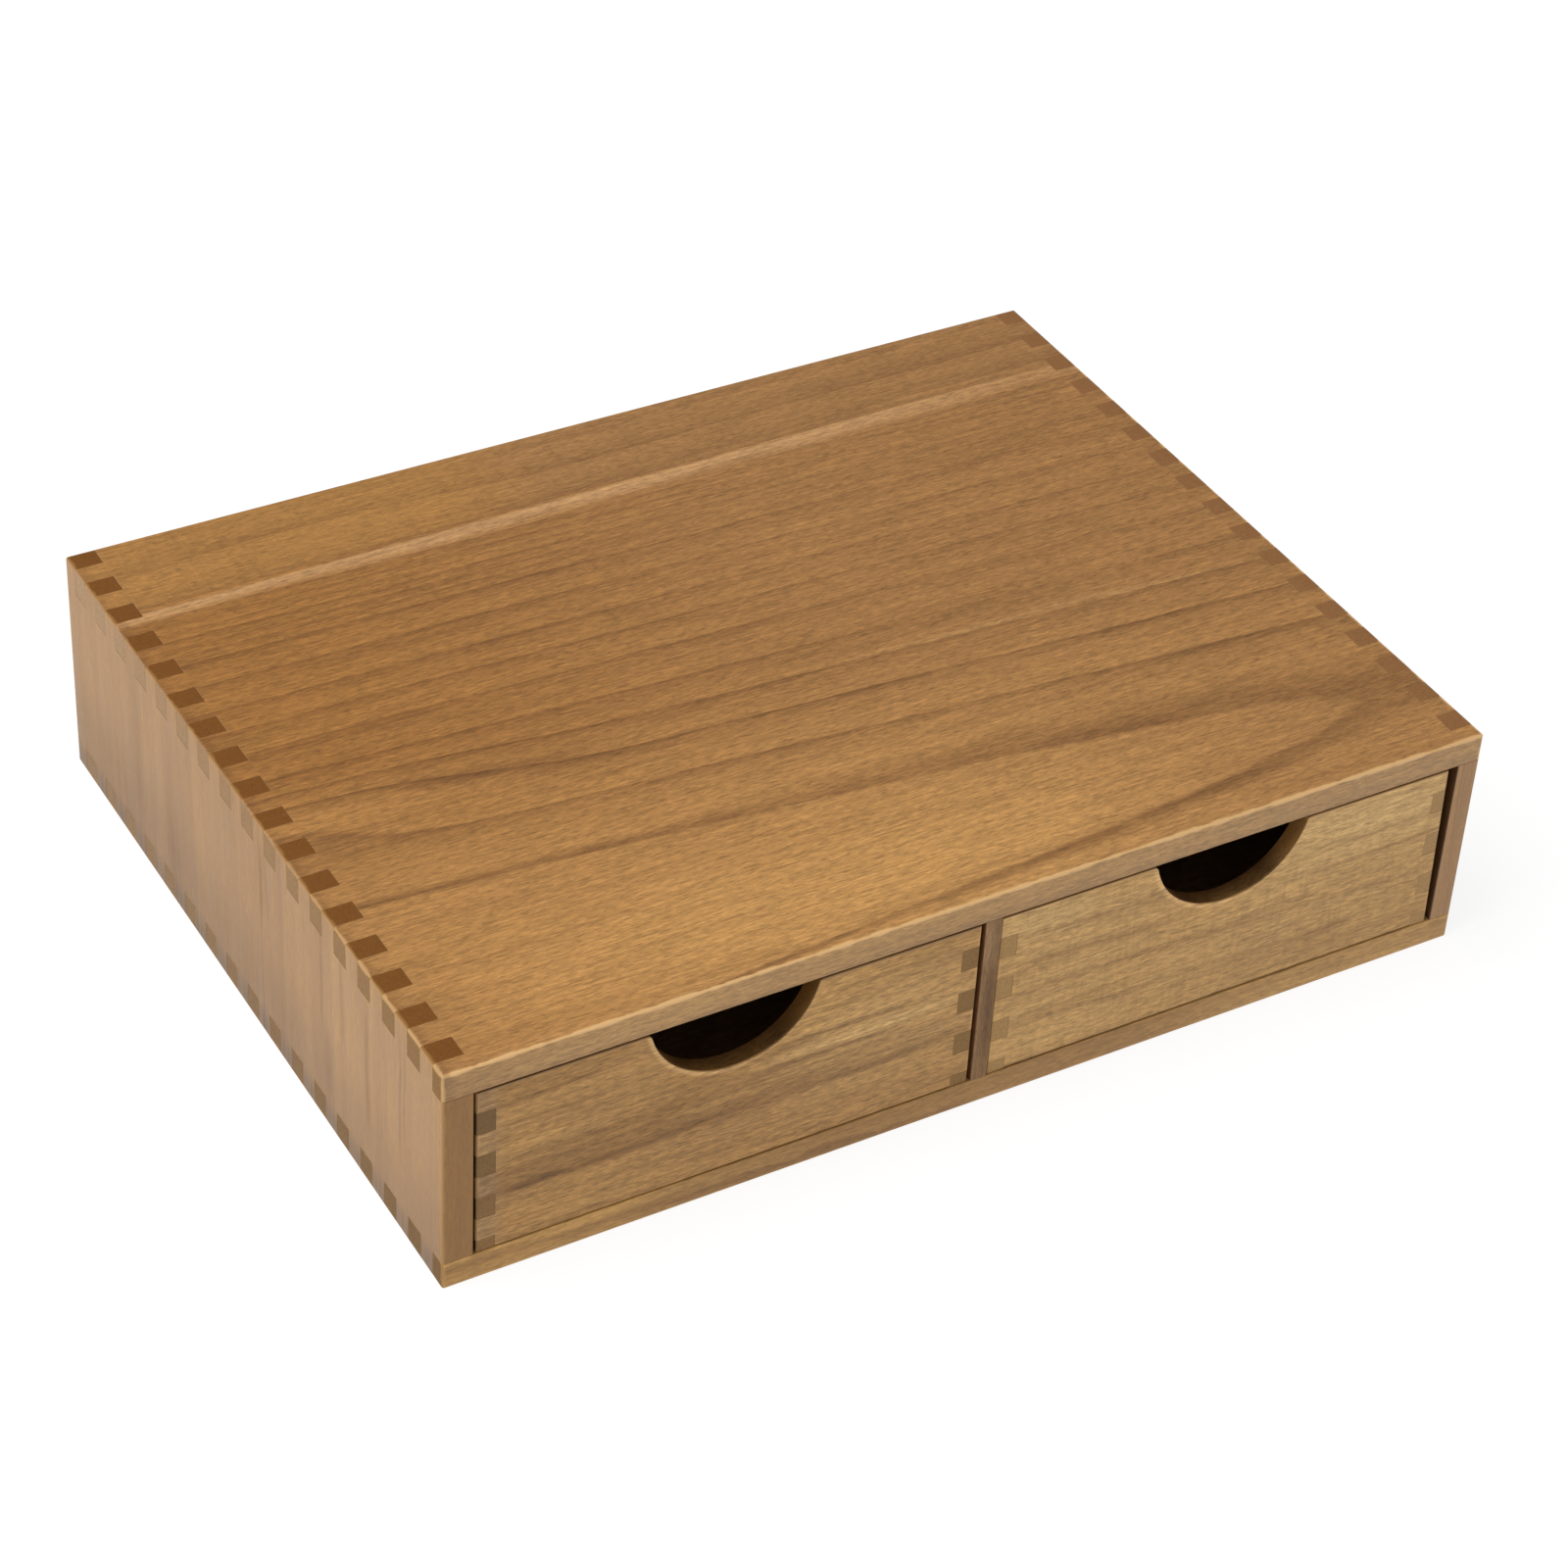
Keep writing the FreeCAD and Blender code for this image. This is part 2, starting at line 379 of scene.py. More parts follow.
# %% [markdown]
# The third group is the fibre itself: long fine streaks, dark veins, broad drifts of tone, short
# wavy flecks where the rays are cut, and small dark pores. All are noise that is stretched along
# X, so on an end face they become the dots of end grain.

# %% Group: fibre
tree, given, result = new_group(
    "Fibre", {"Vector": ORIGIN, "Seed": 0.0}, ["Streak", "Vein", "Drift", "Patch", "Fleck", "Pore"]
)
for mark, lump, detail, waviness, low, high in (
    ("Streak", (26.0, 0.9, 0.9), 3.0, 0.0, 0.25, 0.75),
    ("Vein", (70.0, 2.6, 2.6), 2.0, 0.15, 0.50, 0.78),
    ("Drift", (110.0, 9.0, 9.0), 2.0, 0.0, 0.30, 0.70),
    ("Patch", (45.0, 14.0, 14.0), 2.0, 0.3, 0.30, 0.70),
    ("Fleck", (3.4, 0.6, 0.6), 2.0, 0.5, 0.30, 0.70),
    ("Pore", (3.0, 0.45, 0.45), 1.0, 0.2, 0.60, 0.74),
):
    noise = add(tree, "ShaderNodeTexNoise", {
        "Vector": vectors("DIVIDE", given["Vector"], lump),
        "W": given["Seed"],
        "Scale": 1.0,
        "Detail": detail,
        "Roughness": 0.6,
        "Distortion": waviness,
    }, noise_dimensions="4D")
    feed(result[mark], between(noise, low, high, smooth=mark == "Pore"))
fibre = tree
print("group", tree.name, "has", len(tree.nodes), "nodes")

# %% [markdown]
# Five more groups are masks. End grain drinks more oil, so it is darker wherever the surface
# faces along the grain. Edges are eased with sandpaper, which leaves them paler, and the same
# paleness stands for a painted highlight where the round catches light: one mask finds the edges
# of a box as the places where two of its faces are near at once. Another finds the round edge
# and the wall of a finger notch by the distance from its middle, for a painted highlight on the
# edge and painted shade on the wall. The fourth finds the few millimetres just inside a gap,
# where painted shade darkens the wood. The last is one long soft streak along the grain, which
# a finish can set where its board has one.

# %% Groups: end grain and eased edges
tree, given, result = new_group("End Grain", {"Grain": (1.0, 0.0, 0.0)}, ["Mask"])
along = reckon("ABSOLUTE", vectors("DOT_PRODUCT", place_seen(tree, "Normal"), given["Grain"]))
feed(result["Mask"], between(along, 0.55, 0.85))
end_grain = tree

tree, given, result = new_group("Eased Edge And Highlight", {"Low": ORIGIN, "High": ORIGIN, "Reach": 1.0 * mm}, ["Mask"])
here = place_seen(tree)
x, y, z = vectors(
    "MINIMUM", vectors("SUBTRACT", here, given["Low"]), vectors("SUBTRACT", given["High"], here)
).split()
further = reckon("MINIMUM", reckon("MAXIMUM", x, y), z)
second = reckon("MAXIMUM", reckon("MINIMUM", x, y), further)
scuff = add(tree, "ShaderNodeTexNoise", {"Vector": here, "Scale": 160.0, "Detail": 2.0})
reach = given["Reach"] * between(scuff, 0.3, 0.7, 0.6, 1.4)
feed(result["Mask"], between(second / reach, 0.3, 1.0, 1.0, 0.0))
eased_edge_and_highlight = tree
print("groups:", end_grain.name, eased_edge_and_highlight.name)

# %% Groups: finger notch, gap and streak
tree, given, result = new_group(
    "Finger Notch", {"Middle": ORIGIN, "Radius": 27.5 * mm, "Reach": 0.8 * mm}, ["Edge", "Wall", "Deep"]
)
off = vectors("SUBTRACT", place_seen(tree), given["Middle"])
past_arc = vectors("LENGTH", vectors("MULTIPLY", off, (1.0, 0.0, 1.0))) - given["Radius"]
from_face = reckon("ABSOLUTE", off.split()[1])
wall = between(past_arc, 0.1 * mm, 0.5 * mm, 1.0, 0.0)
feed(result["Wall"], wall)
feed(result["Deep"], wall * between(from_face, 1.0 * mm, 5.0 * mm))
from_edge = reckon("MAXIMUM", reckon("ABSOLUTE", past_arc), from_face * 2.5)
feed(result["Edge"], between(from_edge / given["Reach"], 0.3, 1.0, 1.0, 0.0))
finger_notch = tree

tree, given, result = new_group(
    "Gap Shade", {"Low": ORIGIN, "High": ORIGIN, "Deep": 2.5 * mm, "Reach": 0.4 * mm}, ["Mask"]
)
here = place_seen(tree)
past_left, past_front, past_foot = vectors("SUBTRACT", here, given["Low"]).split()
below_rim = vectors("SUBTRACT", given["High"], here).split()[2]
off_wall = reckon("MINIMUM", past_left, reckon("MINIMUM", past_foot, below_rim))
on_wall = between(off_wall / given["Reach"], 0.3, 1.0, 1.0, 0.0)
feed(result["Mask"], on_wall * between(past_front / given["Deep"], 0.6, 1.0, 1.0, 0.0))
gap_shade = tree

streak_sizes = {
    "Middle Along": 0.0, "Middle Across": 0.0, "Half Length": 20.0, "Half Width": 1.0,
    "Slope": 0.0, "Depth": 0.5,
}
tree, given, result = new_group("Streak Mark", {"Along": 0.0, "Across": 0.0, **streak_sizes}, ["Mask"])
along = given["Along"] - given["Middle Along"]
across = given["Across"] - (along * given["Slope"] + given["Middle Across"])
long_way = reckon("ABSOLUTE", along / given["Half Length"]) ** 4.0
short_way = reckon("ABSOLUTE", across / given["Half Width"]) ** 2.0
feed(result["Mask"], reckon("EXPONENT", (long_way + short_way) * -1.0) * given["Depth"])
streak_mark = tree
print("groups:", finger_notch.name, gap_shade.name, streak_mark.name)

# %% [markdown]
# ## Sizes that the boards share
#
# The CAD nodes give every place. The case's joints are counted from the back edge, and the
# drawers' joints down from the rim, so those two edges are read first.

# %% Read the sizes
finger = 8 * mm
drawer_first_finger = 7.5 * mm
proud = 0.5 * mm            # fingers are cut this much too long and planed flush
overrun = 5 * mm            # cutters run this far past the wood
case_low, case_high = cad_box
left_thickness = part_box("left_side_front_board")[1].x - case_low.x
right_thickness = case_high.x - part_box("right_side_front_board")[0].x
panel_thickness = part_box("bottom_front_board")[1].z - case_low.z
back_edge = case_high.y
for board, thickness in {
    "left side": left_thickness, "right side": right_thickness, "panels": panel_thickness,
}.items():
    print(board, round(thickness / mm, 2), "mm thick")

# %% [markdown]
# ## One recipe for all solid wood
#
# Every board is the same kind of wood, so one function makes all the wood finishes and each
# board brings its own values: where its pith was, how far apart its rings are, which way its
# grain runs, and its colours. The oil finish is satin, so roughness moves a little with the
# streaks, and the fibre gives a fine bump.
#
# A board's own marks are patches: a mask and the colour that it lays on. A mask reads the place in
# millimetres with the grain along X, the distance from the pith and the fibre.

# %% Helpers for the wood finish
grain_turns = {
    "x": (ORIGIN, (1.0, 0.0, 0.0)),
    "y": ((0.0, 0.0, math.radians(-90)), (0.0, 1.0, 0.0)),
    "z": ((0.0, math.radians(90), 0.0), (0.0, 0.0, 1.0)),
}


class Spot:
    """What a mask can read at one spot of the wood."""

    def __init__(self, tree, board, distance, fibres):
        self.tree = tree
        self.board = board
        self.distance = distance
        self.fibres = fibres
        self.x, self.y, self.z = board.split()


def screen(colour):
    """A screen colour, 0 to 255, as the linear colour that sockets take."""
    shares = [value / 255 for value in colour]
    return (*(s / 12.92 if s <= 0.04045 else ((s + 0.055) / 1.055) ** 2.4 for s in shares), 1.0)


def curve_through(share, heights):
    """Curve through given points, straight between them."""
    curve = add(share.tree, "ShaderNodeFloatCurve", {"Value": share})
    mapping = curve.node.mapping
    points = mapping.curves[0].points
    points[0].location, points[1].location = heights[0], heights[-1]
    for across, up in heights[1:-1]:
        points.new(across, up)
    for point in points:
        point.handle_type = "VECTOR"
    mapping.update()
    return curve


def read_rings(distance, rings):
    """Ring count and strength from a list of (radius, strength)."""
    furthest, last = rings[-1][0], float(len(rings))
    radii, strengths = [(0.0, 0.0)], [(0.0, 0.0)]
    for number, (radius, strength) in enumerate(rings, 1):
        radii.append((radius / furthest, number / last))
        strengths.append((number / last, strength))
    count = curve_through(distance / furthest, radii) * last
    year = reckon("FLOOR", count + (1.0 - line_width)) / last
    return count, curve_through(year, strengths)


print("grain ways:", list(grain_turns))

# %% Wood finish
year_share = 0.2            # of the tone is each year's own
tone_share = 0.8            # of the tone is drift and growth together
faintest_mark = 0.35
end_share = 0.95
end_dots = (0.75, 1.05)
end_roughness = 0.4         # that end grain adds
satin = (0.36, 0.48)
edge_reach = 1.2 * mm
bump_height = 0.06 * mm
pore_depth = 0.8            # of a streak's height
ring_seed_shift = 0.37      # keeps the years' chances apart from the fibre's


def wood(
    name, grain, pale, warm, dark, end, pith, end_back=None, edge_box=cad_box,
    taper=0.05, taper_reach=115.0, lean=0.0, ring_gap=9.0, rings=None, wander=1.5, swirl=no_swirl,
    line=0.55, band=0.35, band_sharpness=3.0, weakest=0.3, mark_fade=None,
    drift=0.35, vein=0.2, streak=0.14, fleck=0.26, pore=0.35,
    edge_share=0.5, edge_fade=None, edge_colour=None, patches=(), shine=0.5, seed=0.0,
):
    """Oiled solid wood with its grain along one axis; colours are screen colours."""
    made, tree, shader = new_material(name)
    turn, grain_way = grain_turns[grain]
    edge_tone = screen(edge_colour or pale)
    pale, warm, dark = screen(pale), screen(warm), screen(dark)

    here = place_seen(tree)
    board = add(tree, "ShaderNodeMapping", {"Vector": here, "Rotation": turn, "Scale": (1 / mm,) * 3})
    distance = place_group(tree, pith_distance, {
        "Vector": board, "Pith Across": pith[0], "Pith Depth": pith[1], "Lean": lean, "Taper": taper,
        "Taper Reach": taper_reach, "Swirl": swirl[0], "Swirl Place": swirl[1], "Swirl Size": swirl[2],
        "Wander": wander, "Seed": seed,
    })["Distance"]
    count, strength = read_rings(distance, rings) if rings else (distance / ring_gap, None)
    marks = place_group(tree, ring_marks, {
        "Ring Count": count, "Band Sharpness": band_sharpness, "Seed": seed + ring_seed_shift,
    })
    fibres = place_group(tree, fibre, {"Vector": board, "Seed": seed})
    at = Spot(tree, board, distance, fibres)

    tone = marks["Tone"] * year_share + fibres["Drift"] * drift + marks["Growth"] * (tone_share - drift)
    colour = blend(tone, pale, warm)
    for mask, patch in patches:
        colour = blend(mask(at), colour, screen(patch))
    depth = strength or spread(marks["Strength"], weakest, 1.0)
    depth = depth * spread(fibres["Patch"], faintest_mark, 1.0)
    if mark_fade:
        depth = depth * mark_fade(at)
    colour = blend(marks["Band"] * band * depth, colour, dark)
    colour = blend(marks["Line"] * line * depth, colour, dark)
    light_streaks = spread(fibres["Streak"], 1.0 - streak, 1.0 + streak, smooth=False)
    light_flecks = spread(fibres["Fleck"], 1.0 - fleck, 1.0 + fleck, smooth=False)
    colour = shaded(colour, light_streaks * light_flecks)
    colour = blend(fibres["Vein"] * vein, colour, dark)
    colour = blend(fibres["Pore"] * pore, colour, dark)

    side = 2 if grain == "y" else 1    # a drawer wall's end changes upwards, the others to the back
    end_way = between(here.split()[side], case_low[side], case_high[side], smooth=False)
    end_tone = blend(end_way, screen(end), screen(end_back or end))
    end_tone = shaded(end_tone, spread(fibres["Fleck"], *end_dots, smooth=False))
    end_mask = place_group(tree, end_grain, {"Grain": grain_way})["Mask"]
    colour = blend(end_mask * end_share, colour, end_tone)
    # edges are paler from wear and from a painted highlight where the round catches light
    edges = {"Low": edge_box[0], "High": edge_box[1], "Reach": edge_reach}
    edge_mask = place_group(tree, eased_edge_and_highlight, edges)["Mask"] * edge_share
    if edge_fade:
        edge_mask = edge_mask * edge_fade(at)
    feed(shader["Base Color"], blend(edge_mask, colour, edge_tone))

    feed(shader["Roughness"], spread(fibres["Streak"], *satin, smooth=False) + end_mask * end_roughness)
    feed(shader["Specular IOR Level"], shine)
    height = fibres["Streak"] + (fibres["Fleck"] - fibres["Pore"] * pore_depth)
    bump = {"Height": height, "Strength": 0.4, "Distance": bump_height}
    feed(shader["Normal"], add(tree, "ShaderNodeBump", bump))
    return made


print("wood recipe ready")

# %% [markdown]
# ## Finishes of the case
#
# The top is flat-sawn: its rings were read off the real board, so the radii below are where its
# lines cross the middle, each with how dark it is. The pith lay 25 mm under the face, near the
# front, and the arch points to the right. The wood is golden near the pith and browner outwards,
# with a pale stripe of sapwood along the rear edge. The front edge is cut along the grain and
# stays an even tan.

# %% Masks for the top's front board
streak_wave = 1.2    # mm that a streak sways to either side


def streaks(side, *spots):
    """Streaks given one by one: (along, across, half length, half width, slope, depth), in mm."""
    def mask(at):
        across = at.y if side == "y" else at.z
        wavy = across + spread(at.fibres["Patch"], -streak_wave, streak_wave, smooth=False)
        total = 0
        for spot in spots:
            inputs = {"Along": at.x, "Across": wavy, **dict(zip(streak_sizes, spot))}
            total = total + place_group(at.tree, streak_mark, inputs)["Mask"]
        return reckon("MINIMUM", total, 1) * spread(at.fibres["Streak"], 0.6, 1)
    return mask


left_face, front_face = case_low.x / mm, case_low.y / mm
front_skin = (front_face + 0.1, front_face + 0.6)
arch_radius = 35.9
sapwood_lean = -0.009


def golden_heart(at):
    """Golden wood round the pith, less so to the right."""
    return between(at.distance, 20, 105, 0.68, 0) * between(at.x, 0, 150, 1, 0.6)


def arch_shade(at):
    """Dark band outside the arch, sharp against the gold and soft outwards."""
    width = between(at.x, -130, 80, 3.5, 12) * between(at.y, -114, -96, 0.4, 1)
    soft = spread((at.distance - arch_radius) / width, 1, 0)
    band = between(at.distance, arch_radius - 1, arch_radius + 0.2) * soft
    return band * between(at.x, 70, 165, 1, 0.7) * spread(at.fibres["Patch"], 0.35, 0.65)


def browner_right(at):
    """Cooler brown towards the right."""
    return between(at.x, -160, 60, 0, 0.5)


def sapwood(at):
    """Pale stripe beside the glue line, which leans a little and fades to the right."""
    wavy = at.y + spread(at.fibres["Drift"], -1.5, 1.5, smooth=False)
    stripe = between(wavy, 89.5, 95.5) * between(at.x * sapwood_lean + at.y, 97, 98.5, 1, 0.1)
    return stripe * between(at.x, 70, 170, 0.9, 0.4)


def front_edge(at):
    """Even tone of the board's front edge."""
    return between(at.y, *front_skin, 0.9, 0)


def quiet_marks(at):
    """Rings fade to the right behind the middle, and don't show on the front edge."""
    fade = 1 - between(at.y, -40, 30) * between(at.x, -60, 160, 0, 0.5)
    return fade * between(at.y, *front_skin, 0.15, 1)


def left_arris(at):
    """The painted highlight on the eased edges fades at the left end, most of all at the back."""
    dull = between(at.y, -130, 60, 0.55, 0)
    return reckon("MAXIMUM", dull, between(at.x, left_face + 0.8, left_face + 3))


print("masks for the top ready")

# %% Finish of the top's front board
top_ends = {"end": (138, 100, 47), "end_back": (179, 145, 108)}
arch_brown = (100, 60, 28)
top_rings = [
    (12, 0), (35.5, 0), (57.9, 0.7), (74.1, 0.8), (87, 0.65), (99.5, 0.45), (115.9, 0.45),
    (128.5, 0.5), (140, 0.45), (153.9, 0.4), (166.5, 0.65), (170.9, 0.3), (174.9, 0.3), (179.4, 0.4),
    (183.4, 0.3), (187.9, 0.35), (192.4, 0.3), (197.4, 0.3), (202.4, 0.2),
]
left_end_shade = streaks("y", (-176, 0, 4.5, 400, 0, 0.36), (-176, -115, 20, 45, 0, 0.2))
golden_top = wood(
    "golden_top", "x", (174, 121, 60), (148, 98, 46), (92, 54, 22), **top_ends,
    pith=(-101.9, 55), taper=0.0705, lean=0.013, rings=top_rings, wander=0.9,
    swirl=(-16, (-167, -19, 80), (60, 15, 30)), line=0.7, band=0.3, mark_fade=quiet_marks,
    # the pale edge colour is partly wear and partly a painted highlight on the eased edges
    streak=0.18, fleck=0.3, edge_share=0.95, edge_fade=left_arris, edge_colour=(230, 184, 124), seed=1.3,
    patches=[
        (browner_right, (177, 131, 82)),
        (golden_heart, (193, 142, 82)),
        (streaks("y", (-35, -113, 95, 24, 0, 0.6)), (214, 162, 94)),
        (arch_shade, arch_brown),
        (streaks("y", (92, -22.5, 60, 1.2, -0.055, 0.6)), (206, 158, 100)),
        (streaks("y", (-103, -20, 34, 3, -0.187, 0.45)), arch_brown),
        (sapwood, (204, 156, 104)),
        (front_edge, (174, 133, 78)),
        (streaks("z", (0, 71, 400, 2.6, 0, 0.35)), (120, 82, 44)),
        (left_end_shade, arch_brown),
    ],
)
print("finish", golden_top.name, "nodes:", len(golden_top.node_tree.nodes))

# %% [markdown]
# The other boards are quieter. Their rings are evenly spaced, and only the place of the pith
# sets whether a face shows arches, straight lines or almost nothing. The narrow rear board of
# the top has a golden end with a ripple across the grain. The left side, which the photograph
# shows in full, has its dark streaks set one by one.

# %% Finishes of the rear board and the left side
def ripple(at):
    """Faint bars across the grain."""
    fine = vectors("DIVIDE", at.board, (1.6, 14, 14))
    bars = add(at.tree, "ShaderNodeTexNoise", {"Vector": fine, "Scale": 1, "Detail": 1, "Distortion": 0.3})
    return between(bars, 0.45, 0.7) * (at.fibres["Patch"] * 0.3)


def golden_end(at):
    """Golden tone that fades out to the right."""
    return between(at.x, -60, -10, 0.7, 0)


line_brown = (104, 66, 32)
tan_top = wood(
    "tan_top", "x", (180, 131, 78), (158, 113, 66), line_brown, **top_ends,
    pith=(190, 60), taper=0.02, ring_gap=13, line=0.25, band=0.2, seed=4.1,
    swirl=(6, (-110, 118, 80), (70, 18, 30)), edge_fade=left_arris,
    patches=[
        (golden_end, (180, 128, 64)),
        (ripple, (146, 104, 54)),
        (left_end_shade, arch_brown),
        (streaks("y", (-60, 99.5, 220, 1.4, 0, 0.35)), line_brown),
    ],
)
left_streaks = streaks(
    "y",
    (58, -14, 14, 1, 0, 0.5), (60, -17.5, 12, 0.9, 0.02, 0.4), (55, -56, 18, 1.1, 0, 0.45),
    (55, -70, 16, 1.4, 0, 0.35), (45, -87, 24, 1.5, 0, 0.5), (52, -108, 22, 0.9, 0, 0.55),
    (55, -111, 20, 0.9, 0, 0.45), (25, -60, 12, 3, 0, 0.3), (50, 82, 30, 4, 0, 0.3),
    (35, 55, 30, 5, 0, 0.3), (8, 0, 28, 400, 0, 0.26), (12, 85, 34, 70, 0, 0.2),
    (40, 0, 40, 45, 0, 0.12),
)
left_foot_shade = streaks("y", (0, 0, 26, 400, 0, 0.17), (0, 0, 8.5, 400, 0, 0.5))
left_side_wood = wood(
    "left_side_wood", "z", (178, 135, 80), (158, 115, 66), (100, 64, 30), (124, 75, 20),
    pith=(400, 175), taper=0.03, taper_reach=400, ring_gap=33,
    line=0.1, band=0.1, drift=0.7, vein=0.12, fleck=0.1, pore=0.1, shine=0.3, seed=7.7,
    patches=[(left_streaks, (112, 72, 16)), (left_foot_shade, (60, 40, 18)), (front_edge, (143, 103, 55))],
)
print("finishes:", tan_top.name, left_side_wood.name)

# %% Finishes of the right side, the bottom and the divider
gap_share = 0.9


def painted_gap_shade(low, high, deep, reach=0.4 * mm):
    """Painted shade on the wood just inside a gap."""
    def mask(at):
        found = place_group(at.tree, gap_shade, {"Low": low, "High": high, "Deep": deep, "Reach": reach})
        return found["Mask"] * gap_share
    return mask


open_end = (1, 1, 1)    # a gap that reaches up past the board
right_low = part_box("right_side_front_board")[0]
right_side_wood = wood(
    "right_side_wood", "z", (166, 122, 70), (148, 107, 60), (112, 74, 40), (152, 103, 56),
    pith=(40, -500), taper=0.02, ring_gap=11, line=0.2, band=0.15,
    streak=0.25, fleck=0.12, pore=0.12, seed=9.2,
    # painted shade on the inner face just inside the right drawer's gap
    patches=[(painted_gap_shade((right_low.x, right_low.y + 1 * mm, 0), open_end, 12 * mm), (64, 38, 18))],
)
bottom_pale = (206, 158, 90)
bottom_wood = wood(
    "bottom_wood", "x", (184, 142, 82), (163, 121, 67), line_brown, (121, 90, 53), end_back=(155, 125, 94),
    pith=(30, -40), taper=0.06, ring_gap=10, line=0.4, band=0.25, vein=0.4,
    shine=0.25, seed=12.4,
    patches=[
        (streaks("z", (-15, 5, 105, 400, 0, 0.42)), (112, 74, 36)),
        (streaks("z", (-152, 5, 48, 400, 0, 0.56)), bottom_pale),
        (streaks("z", (150, 5, 55, 400, 0, 0.15)), bottom_pale),
    ],
)
divider_low, divider_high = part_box("centre_divider")
divider_wood = wood(
    "divider_wood", "z", (144, 107, 60), (116, 83, 44), (84, 54, 24), (104, 70, 36),
    pith=(0, 90), taper=0.04, ring_gap=12, line=0.15, band=0.15, vein=0.3,
    streak=0.2, shine=0.25, seed=15.8,
    patches=[
        (streaks("z", (61, 0, 9, 5, 0, 0.4), (40, 1.7, 50, 0.6, 0, 0.3)), (170, 133, 94)),
        (streaks("z", (36, -1.4, 18, 2, 0, 0.7)), (86, 52, 28)),
        # painted shade on the divider's face just inside the left drawer's gap
        (painted_gap_shade((divider_low.x, divider_low.y + 0.5 * mm, 0), open_end, 4 * mm), (96, 60, 32)),
    ],
)
print("finishes:", right_side_wood.name, bottom_wood.name, divider_wood.name)

# %% [markdown]
# ## Finishes of the drawers
#
# The two drawer fronts come from different planks. The left one is browner with clear wavy
# bands, and its end grain shows as dark squares. The right one is paler with a faint ripple
# across the grain, and its squares are faint. Each notch wall is painted dark as shade, and its
# eased edge is paler from wear and from a painted highlight. Each drawer's edges get painted
# shade where they face a gap.

# %% Patches that both drawers have
notch_radius = 27.5 * mm
notch_depth = 22 * mm
notch_corner = 2 * mm
notch_edge = 2 * mm


def notch_part(drawer, part, share, right_share=1):
    """The painted shade of a drawer's notch wall, or its eased edge, paler from wear and a painted highlight;
    it may fade to the right.
    """
    low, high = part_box(drawer + "_front")
    middle = ((low.x + high.x) / 2, low.y, high.z - notch_depth + notch_radius)
    inputs = {"Middle": middle, "Radius": notch_radius, "Reach": notch_edge}

    def mask(at):
        fade = between(at.x - middle[0] / mm, -2, 16, 1, right_share)
        found = place_group(at.tree, finger_notch, inputs)[part]
        return found * fade * spread(at.fibres["Patch"], 0.7 * share, share)
    return mask


# pale edge colour of the drawers: wear from easing, plus a painted highlight
eased_and_highlight_pale = (220, 174, 114)
gap_depth = 2.5 * mm
drawer_edges = {}
gap_patches = {}
notch_patches = {}
for drawer, gap_shade_tone, gap_reach, foot_off in (    # foot_off keeps the dark line off the foot
    ("left_drawer", (40, 22, 10), 0.8 * mm, 0.5 * mm),
    ("right_drawer", (72, 44, 20), 0.6 * mm, 0),
):
    low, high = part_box(drawer + "_left_side")[0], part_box(drawer + "_right_side")[1]
    drawer_edges[drawer] = (low, high)
    gap_low = (low.x, low.y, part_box(drawer + "_front")[0].z - foot_off)
    # painted shade on the wood just inside each drawer's gaps, in the gap colours listed above
    gap_patches[drawer] = [(painted_gap_shade(gap_low, high, gap_depth, gap_reach), gap_shade_tone)]
    notch_patches[drawer] = [
        # the notch wall and its deep part are painted shade; the edge is paler from wear and from a painted
        # highlight that fades to the right
        (notch_part(drawer, "Wall", 1), (50, 28, 6)),
        (notch_part(drawer, "Deep", 0.9), (92, 66, 36)),
        (notch_part(drawer, "Edge", 0.9, 0.15), eased_and_highlight_pale),
    ]
print("patches for", list(drawer_edges))

# %% Finishes of the drawer fronts
left_drawer_streaks = streaks(
    "z",
    (-140, 63, 16, 0.9, 0.04, 0.55), (-143, 54, 14, 0.8, -0.03, 0.4),
    (-130, 49, 32, 1, 0.02, 0.25), (-123, 40, 36, 1.3, 0, 0.3),
    (-115, 34, 60, 7, 0, 0.35), (-148, 30, 10, 1.3, 0.05, 0.65),
    (-115, 29.5, 34, 1.2, 0, 0.55), (-35, 30, 32, 1.6, 0, 0.55),
    (-45, 48.5, 24, 1, -0.05, 0.55), (-53, 41, 22, 1, 0, 0.55),
    (-30, 63, 22, 1, 0.02, 0.4), (-87, 17, 12, 1.6, 0, 0.4),
    (-33, 35.5, 26, 3.5, 0, 0.25), (-140, 66, 30, 4, 0, 0.18),
)
drawer_front = {
    "taper_reach": 400, "band": 0.2, "weakest": 0, "edge_colour": eased_and_highlight_pale, "shine": 0.25,
}
left_drawer_pales = streaks("z", (-40, 44, 36, 2, 0, 0.6), (-35, 45, 32, 22, 0, 0.45))
left_drawer_veil = streaks("z", (-162, 40, 4.5, 400, 0, 0.42))
left_front_wood = wood(
    "left_front_wood", "x", (189, 144, 82), (156, 113, 63), (84, 50, 16), (116, 80, 32),
    pith=(-100, -130), edge_box=drawer_edges["left_drawer"], taper=0.006, ring_gap=12, wander=6, line=0.08,
    band_sharpness=1.6, drift=0.7, vein=0.28, streak=0.22, fleck=0.36, edge_share=0.3, seed=21,
    **drawer_front,
    patches=[
        (left_drawer_pales, (206, 165, 104)),
        (left_drawer_streaks, (92, 56, 20)),
        (left_drawer_veil, (146, 124, 98)),
    ] + notch_patches["left_drawer"] + gap_patches["left_drawer"],
)
